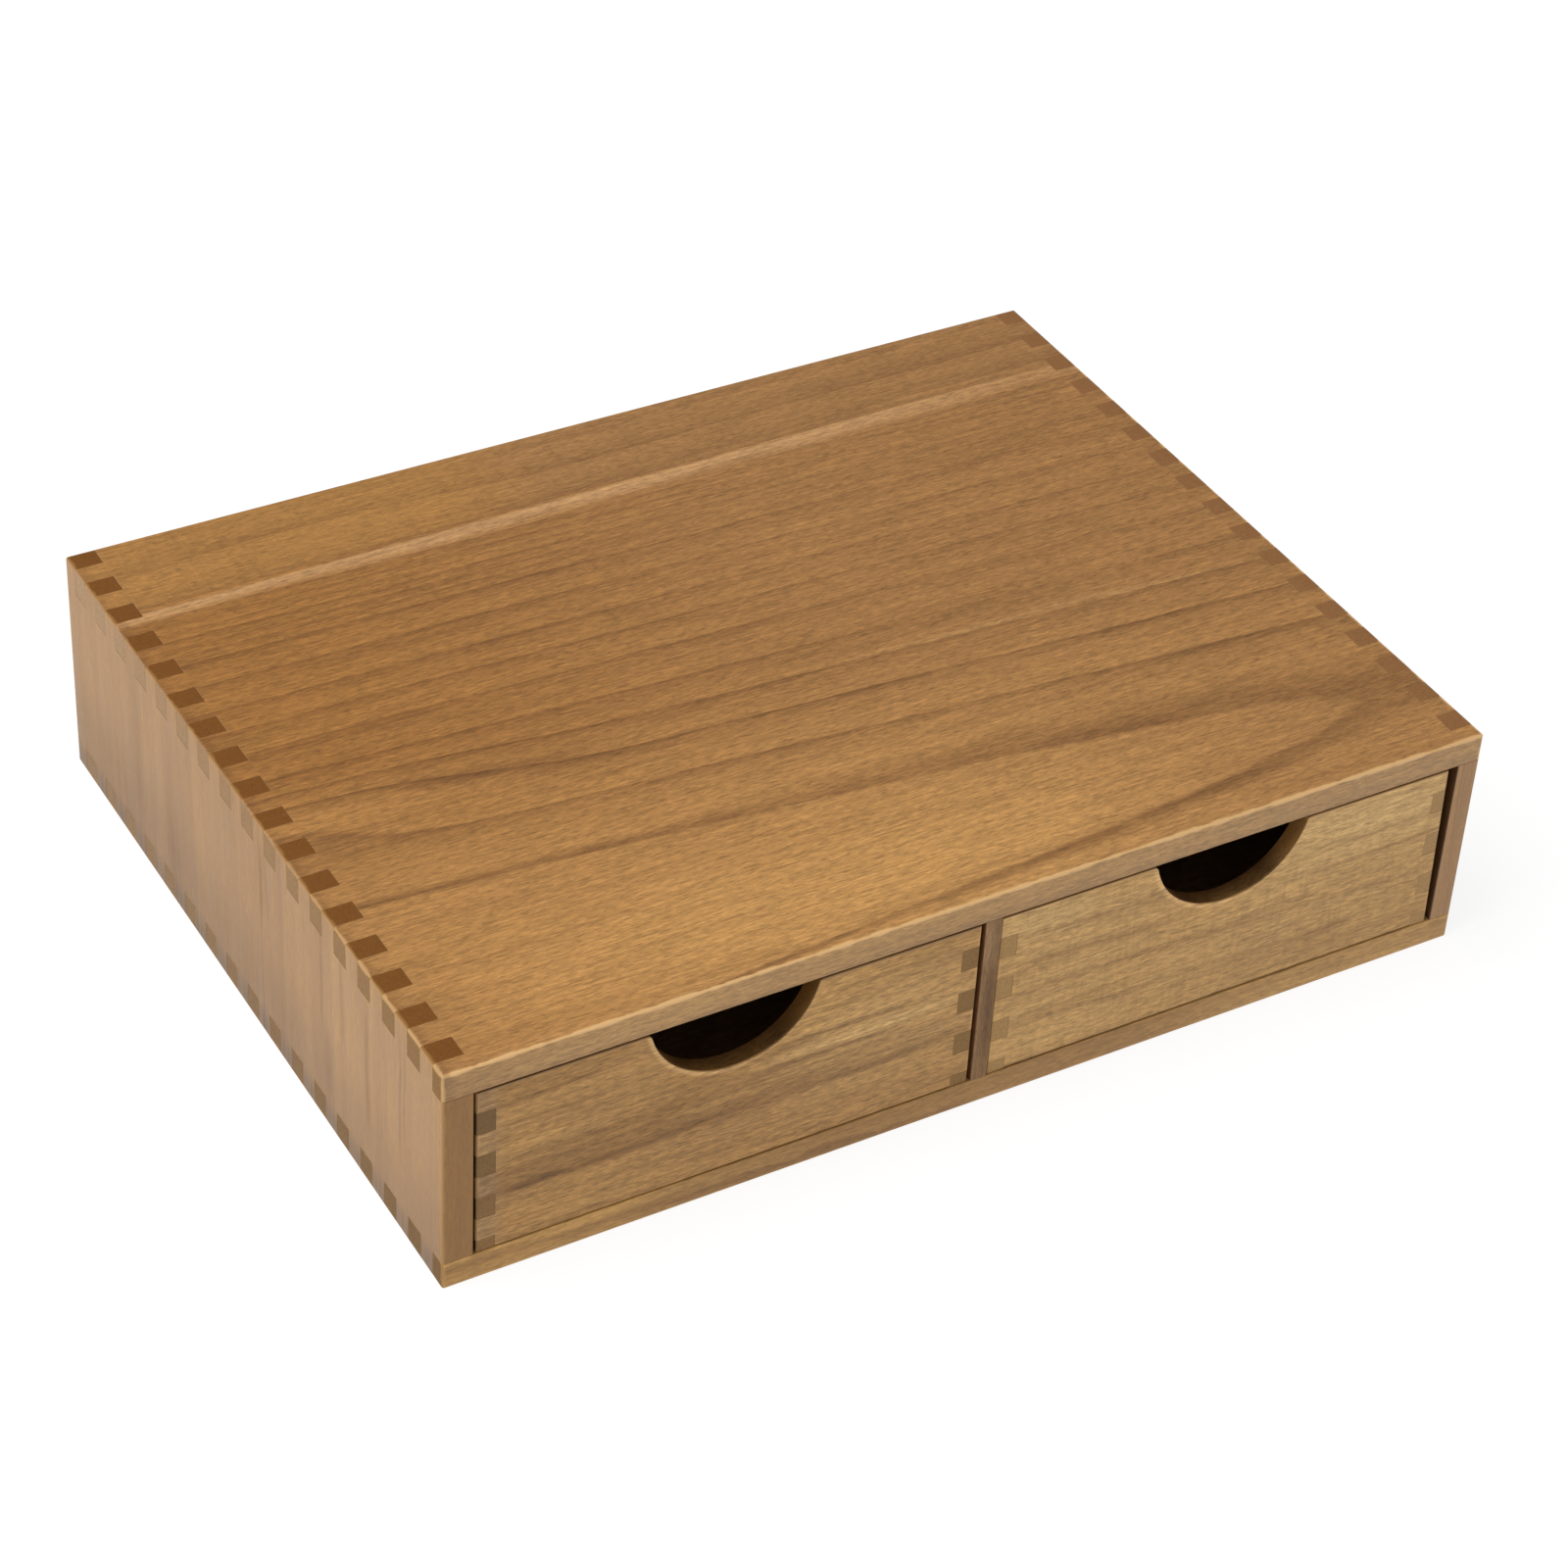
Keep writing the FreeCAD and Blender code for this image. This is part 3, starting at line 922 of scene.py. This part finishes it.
right_drawer_streaks = streaks(
    "z",
    (35, 58, 27, 0.9, -0.05, 0.45), (37, 48, 34, 1, -0.05, 0.45),
    (70, 36.2, 58, 1, -0.03, 0.4), (65, 23.5, 52, 1, -0.05, 0.45),
    (123, 21.2, 12, 1, -0.02, 0.5), (143, 47, 24, 1, 0.03, 0.4),
    (143, 54, 22, 0.9, 0.02, 0.35), (145, 33, 20, 1.4, 0, 0.35),
    (140, 14, 40, 9, 0, 0.25),
)
right_drawer_pales = streaks("z", (135, 63, 48, 14, 0, 0.5), (20, 66, 18, 8, 0, 0.4))
right_front_wood = wood(
    "right_front_wood", "x", (200, 158, 96), (178, 136, 81), (112, 73, 32), (142, 102, 52),
    pith=(-100, -170), edge_box=drawer_edges["right_drawer"], taper=-0.01, ring_gap=10, wander=5, line=0.06,
    band_sharpness=1.8, drift=0.6, streak=0.2, fleck=0.33, edge_share=0.4, seed=27.5, **drawer_front,
    patches=[
        (ripple, (136, 94, 46)),
        (right_drawer_pales, (224, 188, 128)),
        (right_drawer_streaks, (116, 78, 38)),
    ] + notch_patches["right_drawer"] + gap_patches["right_drawer"],
)
print("finishes:", left_front_wood.name, right_front_wood.name)

# %% Finishes of the drawer walls and the plywood
drawer_walls = {
    "left_drawer": ((174, 130, 76), (160, 20)),
    "right_drawer": ((182, 138, 82), (-40, 10)),
}
wall_finishes = {}
for drawer, side, warm, end, end_back, seed in (
    ("left_drawer", "left_side", (158, 114, 64), (145, 106, 59), (104, 80, 42), 33),
    ("left_drawer", "right_side", (154, 110, 60), (138, 103, 54), None, 36),
    ("right_drawer", "left_side", (166, 122, 70), (169, 132, 79), None, 39),
    ("right_drawer", "right_side", (166, 122, 70), (173, 136, 87), None, 42),
):
    pale, pith = drawer_walls[drawer]
    wall_finishes[drawer + "_" + side] = wood(
        f"{drawer}_{side}_wood", "y", pale, warm, (116, 80, 44), end, end_back=end_back,
        pith=pith, edge_box=drawer_edges[drawer], taper=0.02, taper_reach=400, ring_gap=8, line=0.3,
        patches=gap_patches[drawer], edge_share=0, seed=seed,
    )
sheets = {}
for name, pale, warm, dark, seed in (
    ("back_plywood", (186, 148, 98), (172, 134, 86), (138, 100, 60), 45),
    # the drawer plywood is darker and less saturated than the back's, as painted shade for the inside of the
    # drawers
    ("drawer_plywood_shade_darkened", (128, 106, 78), (114, 92, 66), (84, 64, 42), 48),
):
    sheets[name] = wood(
        name, "x", pale, warm, dark, dark, pith=(0, -900), taper=0.09,
        taper_reach=900, ring_gap=5, line=0.2, band=0.2, edge_share=0, seed=seed,
    )
print("finishes in all:", len(bpy.data.materials))

# %% [markdown]
# ## A board with fingers, by rule
#
# A box joint follows one rule: along the joint, one board owns the first span, the other the
# second, and so on. Geometry Nodes can state that rule once. A grid of three columns becomes the
# board: the middle column is its body and the outer ones are its two ends. The rows fall on the
# spans. Where the board doesn't own a span, the end cells are deleted, and the rest is drawn out
# to the board's thickness.
#
# In the tree, X is the grain, Y runs along the joint from its datum edge, and Z is the thickness.

# %% Geometry Nodes: comb board
tree, given, result = new_group("Comb Board", {
    "Length": 0.35,
    "Joint From": 0.0,
    "Joint To": 0.27,
    "Face From": 0.0,
    "Face To": 0.01,
    "Depth Near": 0.01,
    "Depth Far": 0.01,
    "First Finger": 0.008,
    "Finger": 0.008,
    "Owned Span": 0,
    "Finish": FINISH,
}, ["Geometry"], "GeometryNodeTree", SHAPE)
tree.is_modifier = True
same_place = 0.01 * mm
spans = reckon("CEIL", (given["Joint To"] - given["First Finger"]) / given["Finger"]) + 1.0
cells = add(tree, "GeometryNodeMeshGrid", {
    "Size X": 1.0, "Size Y": 1.0, "Vertices X": 4, "Vertices Y": spans + 1.0,
})
x, y, _ = add(tree, "GeometryNodeInputPosition").split()

between_columns = 0.3       # the grid's columns lie at a sixth and a half of its size
is_far = reckon("GREATER_THAN", x, 0.0)
end_depth = is_far * (given["Depth Far"] - given["Depth Near"]) + given["Depth Near"]
shoulder = given["Length"] * 0.5 - end_depth
is_end = reckon("GREATER_THAN", reckon("ABSOLUTE", x), between_columns)
along = reckon("SIGN", x) * (is_end * end_depth + shoulder)

# The first row is sent far out, and the limits then bring it back to the board's edge.
row = reckon("ROUND", (y + 0.5) * spans)
first_row = reckon("LESS_THAN", row, 0.5)
edge = (row - 1.0) * given["Finger"] + given["First Finger"] - first_row
edge = reckon("MINIMUM", reckon("MAXIMUM", edge, given["Joint From"]), given["Joint To"])
corner = add(tree, "ShaderNodeCombineXYZ", {"X": along, "Y": edge, "Z": given["Face From"]})
laid_out = add(tree, "GeometryNodeSetPosition", {"Geometry": cells, "Position": corner})
merged = add(tree, "GeometryNodeMergeByDistance", {"Geometry": laid_out, "Distance": same_place})

span = reckon("FLOOR", (y - given["First Finger"]) / given["Finger"])
owner = reckon("FLOORED_MODULO", span + 1.0, 2.0)
not_owned = reckon("GREATER_THAN", reckon("ABSOLUTE", owner - given["Owned Span"]), 0.5)
in_end = reckon("GREATER_THAN", reckon("ABSOLUTE", x), shoulder)
comb = add(tree, "GeometryNodeDeleteGeometry", {
    "Geometry": merged, "Selection": not_owned * in_end,
}, domain="FACE", mode="ALL")

rise = add(tree, "ShaderNodeCombineXYZ", {"Z": given["Face To"] - given["Face From"]})
drawn = add(tree, "GeometryNodeExtrudeMesh", {
    "Mesh": comb, "Offset": rise, "Offset Scale": 1.0, "Individual": False,
})
under = add(tree, "GeometryNodeFlipFaces", {"Mesh": comb})
joined = add(tree, "GeometryNodeJoinGeometry")
for half in (drawn, under):
    feed(joined.node.inputs[0], half)
closed = add(tree, "GeometryNodeMergeByDistance", {"Geometry": joined, "Distance": same_place})
end_tree(closed, given, result)
comb_board = tree
print("comb board tree has", len(tree.nodes), "nodes")

# %% [markdown]
# ## Planing, grooving and easing
#
# A maker cuts the fingers a hair too long, glues up, planes everything flush and then eases the
# edges. The same order works here: each comb board is cut to the common part with a rounded
# block (the planed outside), then grooves are cut out of it, then every sharp edge gets a tiny
# bevel. The bevel is what lets the joints show as fine lines.

# %% Helpers that make forms and run trees
on_the_bench = []


def bench_object(name, shape):
    """Put a bmesh on the bench as a helper object."""
    mesh = bpy.data.meshes.new(name)
    shape.to_mesh(mesh)
    shape.free()
    made = stand(name, mesh)
    on_the_bench.append(made)
    return made


def block(name, low, high, radius=0.0, upright_only=False, top_shift=0.0):
    """Box between two corners, with rounded edges; its upper right edge may lean in."""
    shape = bmesh.new()
    bmesh.ops.create_cube(shape, size=1.0)
    for vert in shape.verts:
        share = vert.co + Vector((0.5, 0.5, 0.5))
        vert.co = Vector([low[i] + share[i] * (high[i] - low[i]) for i in range(3)])
        if share.x > 0.5 and share.z > 0.5:
            vert.co.x -= top_shift
    if radius:
        edges = list(shape.edges)
        if upright_only:
            edges = [e for e in edges if abs(e.verts[0].co.z - e.verts[1].co.z) > radius]
        bmesh.ops.bevel(shape, geom=edges, offset=radius, segments=5, profile=0.5, affect="EDGES")
    return bench_object(name, shape)


def run_tree(made, group, values):
    """Give an object a Geometry Nodes tree and set its inputs by identifier."""
    nodes = made.modifiers.new(group.name, "NODES")
    nodes.node_group = group
    for item in group.interface.items_tree:
        if item.in_out == "INPUT" and item.name in values:
            nodes[item.identifier] = values[item.name]


def evaluated_mesh(made):
    """The object's mesh with its modifiers, as a plain mesh."""
    bpy.context.view_layer.update()
    ready = made.evaluated_get(bpy.context.evaluated_depsgraph_get())
    return bpy.data.meshes.new_from_object(ready)


def axes(origin, grain, joint, face):
    """Matrix that lays the tree's X, Y and Z along the given ways from an origin."""
    turn = Matrix((Vector(grain), Vector(joint), Vector(face))).transposed().to_4x4()
    return Matrix.Translation(Vector(origin)) @ turn


print("bench ready")

# %% Helpers that plane, cut and ease a board
rim_radius = 0.5 * mm
rim_segments = 4
arris_width = 0.12 * mm
arris_angle = math.radians(50)     # sharper edges than this get the tiny bevel
smooth_angle = math.radians(14)    # flatter edges than this are shaded smooth
flat_angle = math.radians(1)       # faces that bend less than this are one face
split_gap = 0.002 * mm


def cut_board(name, place, sizes, form, cuts):
    """Comb board, planed to a form and cut; place maps the tree's axes to the case."""
    rough = stand(name, bpy.data.meshes.new(name))
    rough.matrix_world = place
    run_tree(rough, comb_board, sizes)
    for operation, tools in (("INTERSECT", [form]), ("DIFFERENCE", cuts)):
        for tool in tools:
            cut = rough.modifiers.new(tool.name, "BOOLEAN")
            cut.operation = operation
            cut.object = tool
            cut.solver = "EXACT"
    mesh = evaluated_mesh(rough)
    mesh.transform(place)
    bpy.data.objects.remove(rough)
    return mesh


def clean_up(mesh, finish, eased):
    """Join split faces, mark the edges that get a round, and leave one finish."""
    shape = bmesh.new()
    shape.from_mesh(mesh)
    bmesh.ops.remove_doubles(shape, verts=shape.verts, dist=split_gap)
    bmesh.ops.dissolve_limit(shape, angle_limit=flat_angle, verts=shape.verts, edges=shape.edges)
    weight = shape.edges.layers.float.new("bevel_weight_edge")
    for edge in shape.edges:
        edge[weight] = 1.0 if eased and eased(edge) else 0.0
    for face in shape.faces:
        face.material_index = 0
    shape.to_mesh(mesh)
    shape.free()
    mesh.materials.clear()
    mesh.materials.append(finish)


def planed_board(name, place, sizes, form, cuts, eased=None):
    """A finished board; eased tells which edges get a round instead of a tiny bevel."""
    mesh = cut_board(name + "_rough", place, sizes, form, cuts)
    clean_up(mesh, sizes["Finish"], eased)
    made = stand(name, mesh)
    if eased:
        rim = made.modifiers.new("rim", "BEVEL")
        rim.limit_method = "WEIGHT"
        rim.width = rim_radius
        rim.segments = rim_segments
    arris = made.modifiers.new("arris", "BEVEL")
    arris.limit_method = "ANGLE"
    arris.angle_limit = arris_angle
    arris.width = arris_width
    arris.segments = 1
    finished = evaluated_mesh(made)
    made.modifiers.clear()
    made.data = finished
    bpy.data.meshes.remove(mesh)
    finished.name = name
    finished.shade_smooth()
    finished.set_sharp_from_angle(angle=smooth_angle)
    return made


print("plane and sandpaper ready")

# %% [markdown]
# ## The case's eight boards
#
# Top, bottom and both sides are each glued up from two boards. They share one rounded block as
# their planed outside. The rebate for the back panel and the groove for the divider are cut after
# planing, so they keep crisp edges.

# %% Make the case boards
case_round = 0.8 * mm
case_form = block("case_form", case_low, case_high, radius=case_round)
rebate_low, rebate_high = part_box("back_panel")
rebate_fit = 0.2 * mm
ledge = rebate_low.y
rebate = block(
    "rebate",
    (rebate_low.x - rebate_fit, ledge, rebate_low.z - rebate_fit),
    (rebate_high.x + rebate_fit, back_edge + overrun, rebate_high.z + rebate_fit),
)
dado_stop = 12 * mm         # from the front edge
dado_end = ledge + 1 * mm
dado = block(
    "dado",
    (divider_low.x, case_low.y + dado_stop, divider_low.z),
    (divider_high.x, dado_end, divider_high.z),
)

right_wall = case_high.x - right_thickness
mid_height = case_high.z / 2
flat_ways = ((1, 0, 0), (0, -1, 0), (0, 0, -1))
upright_ways = ((0, 0, 1), (0, -1, 0), (1, 0, 0))
case_panels = {    # place, owned span, whether the outer face comes first, thickness
    "top": (axes((0, back_edge, case_high.z), *flat_ways), 1, True, panel_thickness),
    "bottom": (axes((0, back_edge, panel_thickness), *flat_ways), 1, False, panel_thickness),
    "left_side": (axes((case_low.x, back_edge, mid_height), *upright_ways), 0, True, left_thickness),
    "right_side": (axes((right_wall, back_edge, mid_height), *upright_ways), 0, False, right_thickness),
}
for panel, part, finish, slot in (
    ("top", "front", golden_top, "top_boards"),
    ("top", "rear", tan_top, "top_boards"),
    ("bottom", "front", bottom_wood, "bottom_boards"),
    ("bottom", "rear", bottom_wood, "bottom_boards"),
    ("left_side", "front", left_side_wood, "side_boards"),
    ("left_side", "rear", left_side_wood, "side_boards"),
    ("right_side", "front", right_side_wood, "side_boards"),
    ("right_side", "rear", right_side_wood, "side_boards"),
):
    node = f"{panel}_{part}_board"
    place, owned, outer_first, thickness = case_panels[panel]
    low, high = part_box(node)
    flat = panel in ("top", "bottom")
    length = high.x - low.x if flat else high.z - low.z
    rear = part == "rear"
    piece = planed_board("planed_" + node, place, {
        "Length": length + 2 * proud,
        "Joint From": back_edge - high.y - (proud if rear else 0.0),
        "Joint To": back_edge - low.y + (0.0 if rear else proud),
        "Face From": -proud if outer_first else 0.0,
        "Face To": thickness + (0.0 if outer_first else proud),
        "Depth Near": (left_thickness if flat else panel_thickness) + proud,
        "Depth Far": (right_thickness if flat else panel_thickness) + proud,
        "First Finger": finger,
        "Finger": finger,
        "Owned Span": owned,
        "Finish": finish,
    }, case_form, [rebate, dado])
    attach(piece, "case")
    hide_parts(node)
    print(piece.name, "faces:", len(piece.data.polygons))

# %% [markdown]
# ## The drawers
#
# A drawer is four comb boards round a thin bottom. The front has a round notch for the fingers:
# an arc that meets the rim in two small rounds. The right drawer was planed narrower towards the
# top of its right side, so its gap in the bay is a wedge.

# %% The notch's cutter and its eased edges
notch_steps = 40
corner_steps = 8
touching = 0.02 * mm


def notch_tool(name, middle, rim, low_y, high_y):
    """Prism that cuts the finger notch."""
    rise = notch_radius - notch_depth
    corner_z = rim - notch_corner
    corner_x = math.sqrt((notch_radius + notch_corner) ** 2 - (rise + notch_corner) ** 2)
    turn = math.atan2(rise + notch_corner, corner_x)
    outline = [(corner_x, rim + overrun)]
    for step in range(corner_steps + 1):
        angle = math.pi / 2 + (turn - math.pi / 2) * step / corner_steps
        outline.append((corner_x - notch_corner * math.cos(angle), corner_z + notch_corner * math.sin(angle)))
    for step in range(1, notch_steps):
        angle = -turn - (math.pi - 2 * turn) * step / notch_steps
        outline.append((notch_radius * math.cos(angle), rim + rise + notch_radius * math.sin(angle)))
    outline += [(-x, z) for x, z in reversed(outline[: corner_steps + 2])]
    shape = bmesh.new()
    face = shape.faces.new([shape.verts.new((middle + x, low_y, z)) for x, z in outline])
    for part in bmesh.ops.extrude_face_region(shape, geom=[face])["geom"]:
        if isinstance(part, bmesh.types.BMVert):
            part.co.y = high_y
    bmesh.ops.recalc_face_normals(shape, faces=shape.faces)
    return bench_object(name, shape)


def rim_edges(middle, rim, low_y, high_y):
    """Test for the edges along the rim and round the notch, on either face of the front."""
    reach = notch_radius + overrun
    lowest = rim - notch_depth - 1 * mm

    def test(edge):
        spots = [vert.co for vert in edge.verts]
        on_face = any(all(abs(s.y - y) < touching for s in spots) for y in (low_y, high_y))
        on_rim = all(abs(s.z - rim) < touching for s in spots)
        in_notch = all(abs(s.x - middle) < reach and s.z > lowest for s in spots)
        return on_face and (on_rim or in_notch)
    return test


print("notch:", round(2 * notch_radius / mm), "mm across its circle")

# %% Make the drawers
right_drawer_planed = 1.4 * mm
drawer_round = 0.5 * mm
groove_fit = 0.1 * mm
across_ways = ((1, 0, 0), (0, 0, -1), (0, 1, 0))
along_ways = ((0, 1, 0), (0, 0, -1), (-1, 0, 0))
for drawer, planed, front_finish in (
    ("left_drawer", 0.0, left_front_wood),
    ("right_drawer", right_drawer_planed, right_front_wood),
):
    front_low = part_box(drawer + "_front")[0]
    wall_low, wall_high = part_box(drawer + "_left_side")
    back_low, back_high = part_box(drawer + "_back")
    bottom_low, bottom_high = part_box(drawer + "_bottom")
    rim, foot = wall_high.z, wall_low.z
    wall = wall_high.x - wall_low.x
    left, right = wall_low.x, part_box(drawer + "_right_side")[1].x
    middle = (left + right) / 2
    mid_y = (front_low.y + back_high.y) / 2
    inner_y = front_low.y + wall
    form = block(
        drawer + "_form", (left, front_low.y, foot), (right, back_high.y, rim),
        radius=drawer_round, upright_only=True, top_shift=planed,
    )
    groove = block(
        drawer + "_groove",
        (bottom_low.x - groove_fit, bottom_low.y - groove_fit, bottom_low.z),
        (bottom_high.x + groove_fit, bottom_high.y + groove_fit, bottom_high.z + groove_fit),
    )
    notch = notch_tool(drawer + "_notch", middle, rim, front_low.y - overrun, inner_y + overrun)
    joint = {
        "Depth Near": wall + proud, "Depth Far": wall + proud, "Joint From": -proud,
        "Joint To": rim - foot + proud, "First Finger": drawer_first_finger, "Finger": finger,
    }
    across = {**joint, "Length": right - left + 2 * proud, "Owned Span": 0}
    along = {**joint, "Length": back_high.y - front_low.y + 2 * proud, "Owned Span": 1}
    outer_first = {"Face From": -proud, "Face To": wall}
    inner_first = {"Face From": 0.0, "Face To": wall + proud}
    to_front_foot = {"Joint To": rim - front_low.z}
    boards = {
        "front": (axes((middle, front_low.y, rim), *across_ways), {**across, **outer_first, **to_front_foot}),
        "back": (axes((middle, back_low.y, rim), *across_ways), {**across, **inner_first}),
        "left_side": (axes((left + wall, mid_y, rim), *along_ways), {**along, **inner_first}),
        "right_side": (axes((right, mid_y, rim), *along_ways), {**along, **outer_first}),
    }
    for board, (place, sizes) in boards.items():
        node = drawer + "_" + board
        is_front = board == "front"
        sizes["Finish"] = wall_finishes.get(node, wall_finishes[drawer + "_left_side"])
        cuts, eased = [groove], None
        if is_front:
            sizes["Finish"] = front_finish
            cuts, eased = [groove, notch], rim_edges(middle, rim, front_low.y, inner_y)
        piece = planed_board("planed_" + node, place, sizes, form, cuts, eased)
        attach(piece, drawer)
        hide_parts(node)
        print(piece.name, "faces:", len(piece.data.polygons))

# %% [markdown]
# ## Boards that stay as the CAD made them
#
# The divider, the back panel and the drawer bottoms are plain sheets whose CAD shape is already
# right. They only need their finish.

# %% Finish the sheets and the divider
for node, finish in {
    "centre_divider": divider_wood,
    "back_panel": sheets["back_plywood"],
    "left_drawer_bottom": sheets["drawer_plywood_shade_darkened"],
    "right_drawer_bottom": sheets["drawer_plywood_shade_darkened"],
}.items():
    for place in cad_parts[node].material_slots:
        place.material = finish
    print(node, "wears", finish.name)

# %% [markdown]
# ## Pins of the back panel
#
# Sixteen small steel pins hold the back panel. One pin is turned from its profile, and Geometry
# Nodes sets it along two long rows and two short columns, so the count and the spacing stay
# numbers that can be changed.

# %% Steel finish
steel, tree, shader = new_material("pin_steel")
scratch = add(tree, "ShaderNodeTexNoise", {"Vector": place_seen(tree), "Scale": 2600.0, "Detail": 3.0})
feed(shader["Base Color"], blend(scratch, (0.46, 0.44, 0.41, 1.0), (0.66, 0.65, 0.62, 1.0)))
feed(shader["Roughness"], between(scratch, 0.3, 0.7, 0.28, 0.45))
feed(shader["Metallic"], 1.0)
bump = {"Height": scratch, "Strength": 0.2, "Distance": 0.02 * mm}
feed(shader["Normal"], add(tree, "ShaderNodeBump", bump))
print("finish", steel.name)

# %% Geometry Nodes: rows of pins
tree, given, result = new_group("Pin Rows", {
    "Geometry": SHAPE,
    "Pins Along": 6,
    "Pins Up": 2,
    "Row Low": ORIGIN,
    "Row High": ORIGIN,
    "Row Step": ORIGIN,
    "Column Left": ORIGIN,
    "Column Right": ORIGIN,
    "Column Step": ORIGIN,
    "Finish": FINISH,
}, ["Geometry"], "GeometryNodeTree", SHAPE)
tree.is_modifier = True
lines = add(tree, "GeometryNodeJoinGeometry")
for start, count, step in (
    ("Row Low", "Pins Along", "Row Step"),
    ("Row High", "Pins Along", "Row Step"),
    ("Column Left", "Pins Up", "Column Step"),
    ("Column Right", "Pins Up", "Column Step"),
):
    line = add(tree, "GeometryNodeMeshLine", {
        "Count": given[count], "Start Location": given[start], "Offset": given[step],
    }, mode="OFFSET")
    feed(lines.node.inputs[0], line)
driven = add(tree, "GeometryNodeInstanceOnPoints", {"Points": lines, "Instance": given["Geometry"]})
end_tree(driven, given, result)
pin_rows = tree
print("pin tree has", len(tree.nodes), "nodes")

# %% Make the pins
pin_sides = 20
pin_profile = [    # radius and height over the panel, in mm
    (0.0, 0.5), (0.5, 0.47), (0.95, 0.36), (1.22, 0.18), (1.3, 0.0), (0.6, 0.0), (0.6, -11.6), (0.0, -13.0),
]
shape = bmesh.new()
profile = [shape.verts.new((radius * mm, height * mm, 0.0)) for radius, height in pin_profile]
edges = [shape.edges.new(pair) for pair in zip(profile, profile[1:])]
bmesh.ops.spin(
    shape, geom=profile + edges, cent=ORIGIN, axis=(0, 1, 0), angle=2 * math.pi, steps=pin_sides,
    use_merge=True,
)
bmesh.ops.remove_doubles(shape, verts=shape.verts, dist=same_place)
bmesh.ops.recalc_face_normals(shape, faces=shape.faces)
pin_mesh = bpy.data.meshes.new("pin")
shape.to_mesh(pin_mesh)
shape.free()

pins_along, pins_up = 6, 2
head_radius = max(radius for radius, height in pin_profile) * mm
corner_inset = 20.5 * mm    # from the first pin of a row to the column beside it
pin_low, pin_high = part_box("back_panel_pins")
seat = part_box("back_panel")[1].y
column_left, column_right = pin_low.x + head_radius, pin_high.x - head_radius
row_low, row_high = pin_low.z + head_radius, pin_high.z - head_radius
row_start = column_left + corner_inset
row_step = (column_right - corner_inset - row_start) / (pins_along - 1)
column_start = row_low + corner_inset
column_step = (row_high - corner_inset - column_start) / (pins_up - 1)
pins = stand("back_pins", pin_mesh)
run_tree(pins, pin_rows, {
    "Pins Along": pins_along,
    "Pins Up": pins_up,
    "Row Low": (row_start, seat, row_low),
    "Row High": (row_start, seat, row_high),
    "Row Step": (row_step, 0.0, 0.0),
    "Column Left": (column_left, seat, column_start),
    "Column Right": (column_right, seat, column_start),
    "Column Step": (0.0, 0.0, column_step),
    "Finish": steel,
})
pin_set = evaluated_mesh(pins)
pins.modifiers.clear()
pins.data = pin_set
pin_set.shade_smooth()
pin_set.set_sharp_from_angle(angle=math.radians(40))
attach(pins, "case")
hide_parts("back_panel_pins")
print("pins:", len(pin_set.polygons), "faces")

# %% [markdown]
# ## Clear the bench
#
# The forms and cutters have done their work and are taken away.

# %% Finish
for tool in on_the_bench:
    bpy.data.objects.remove(tool)
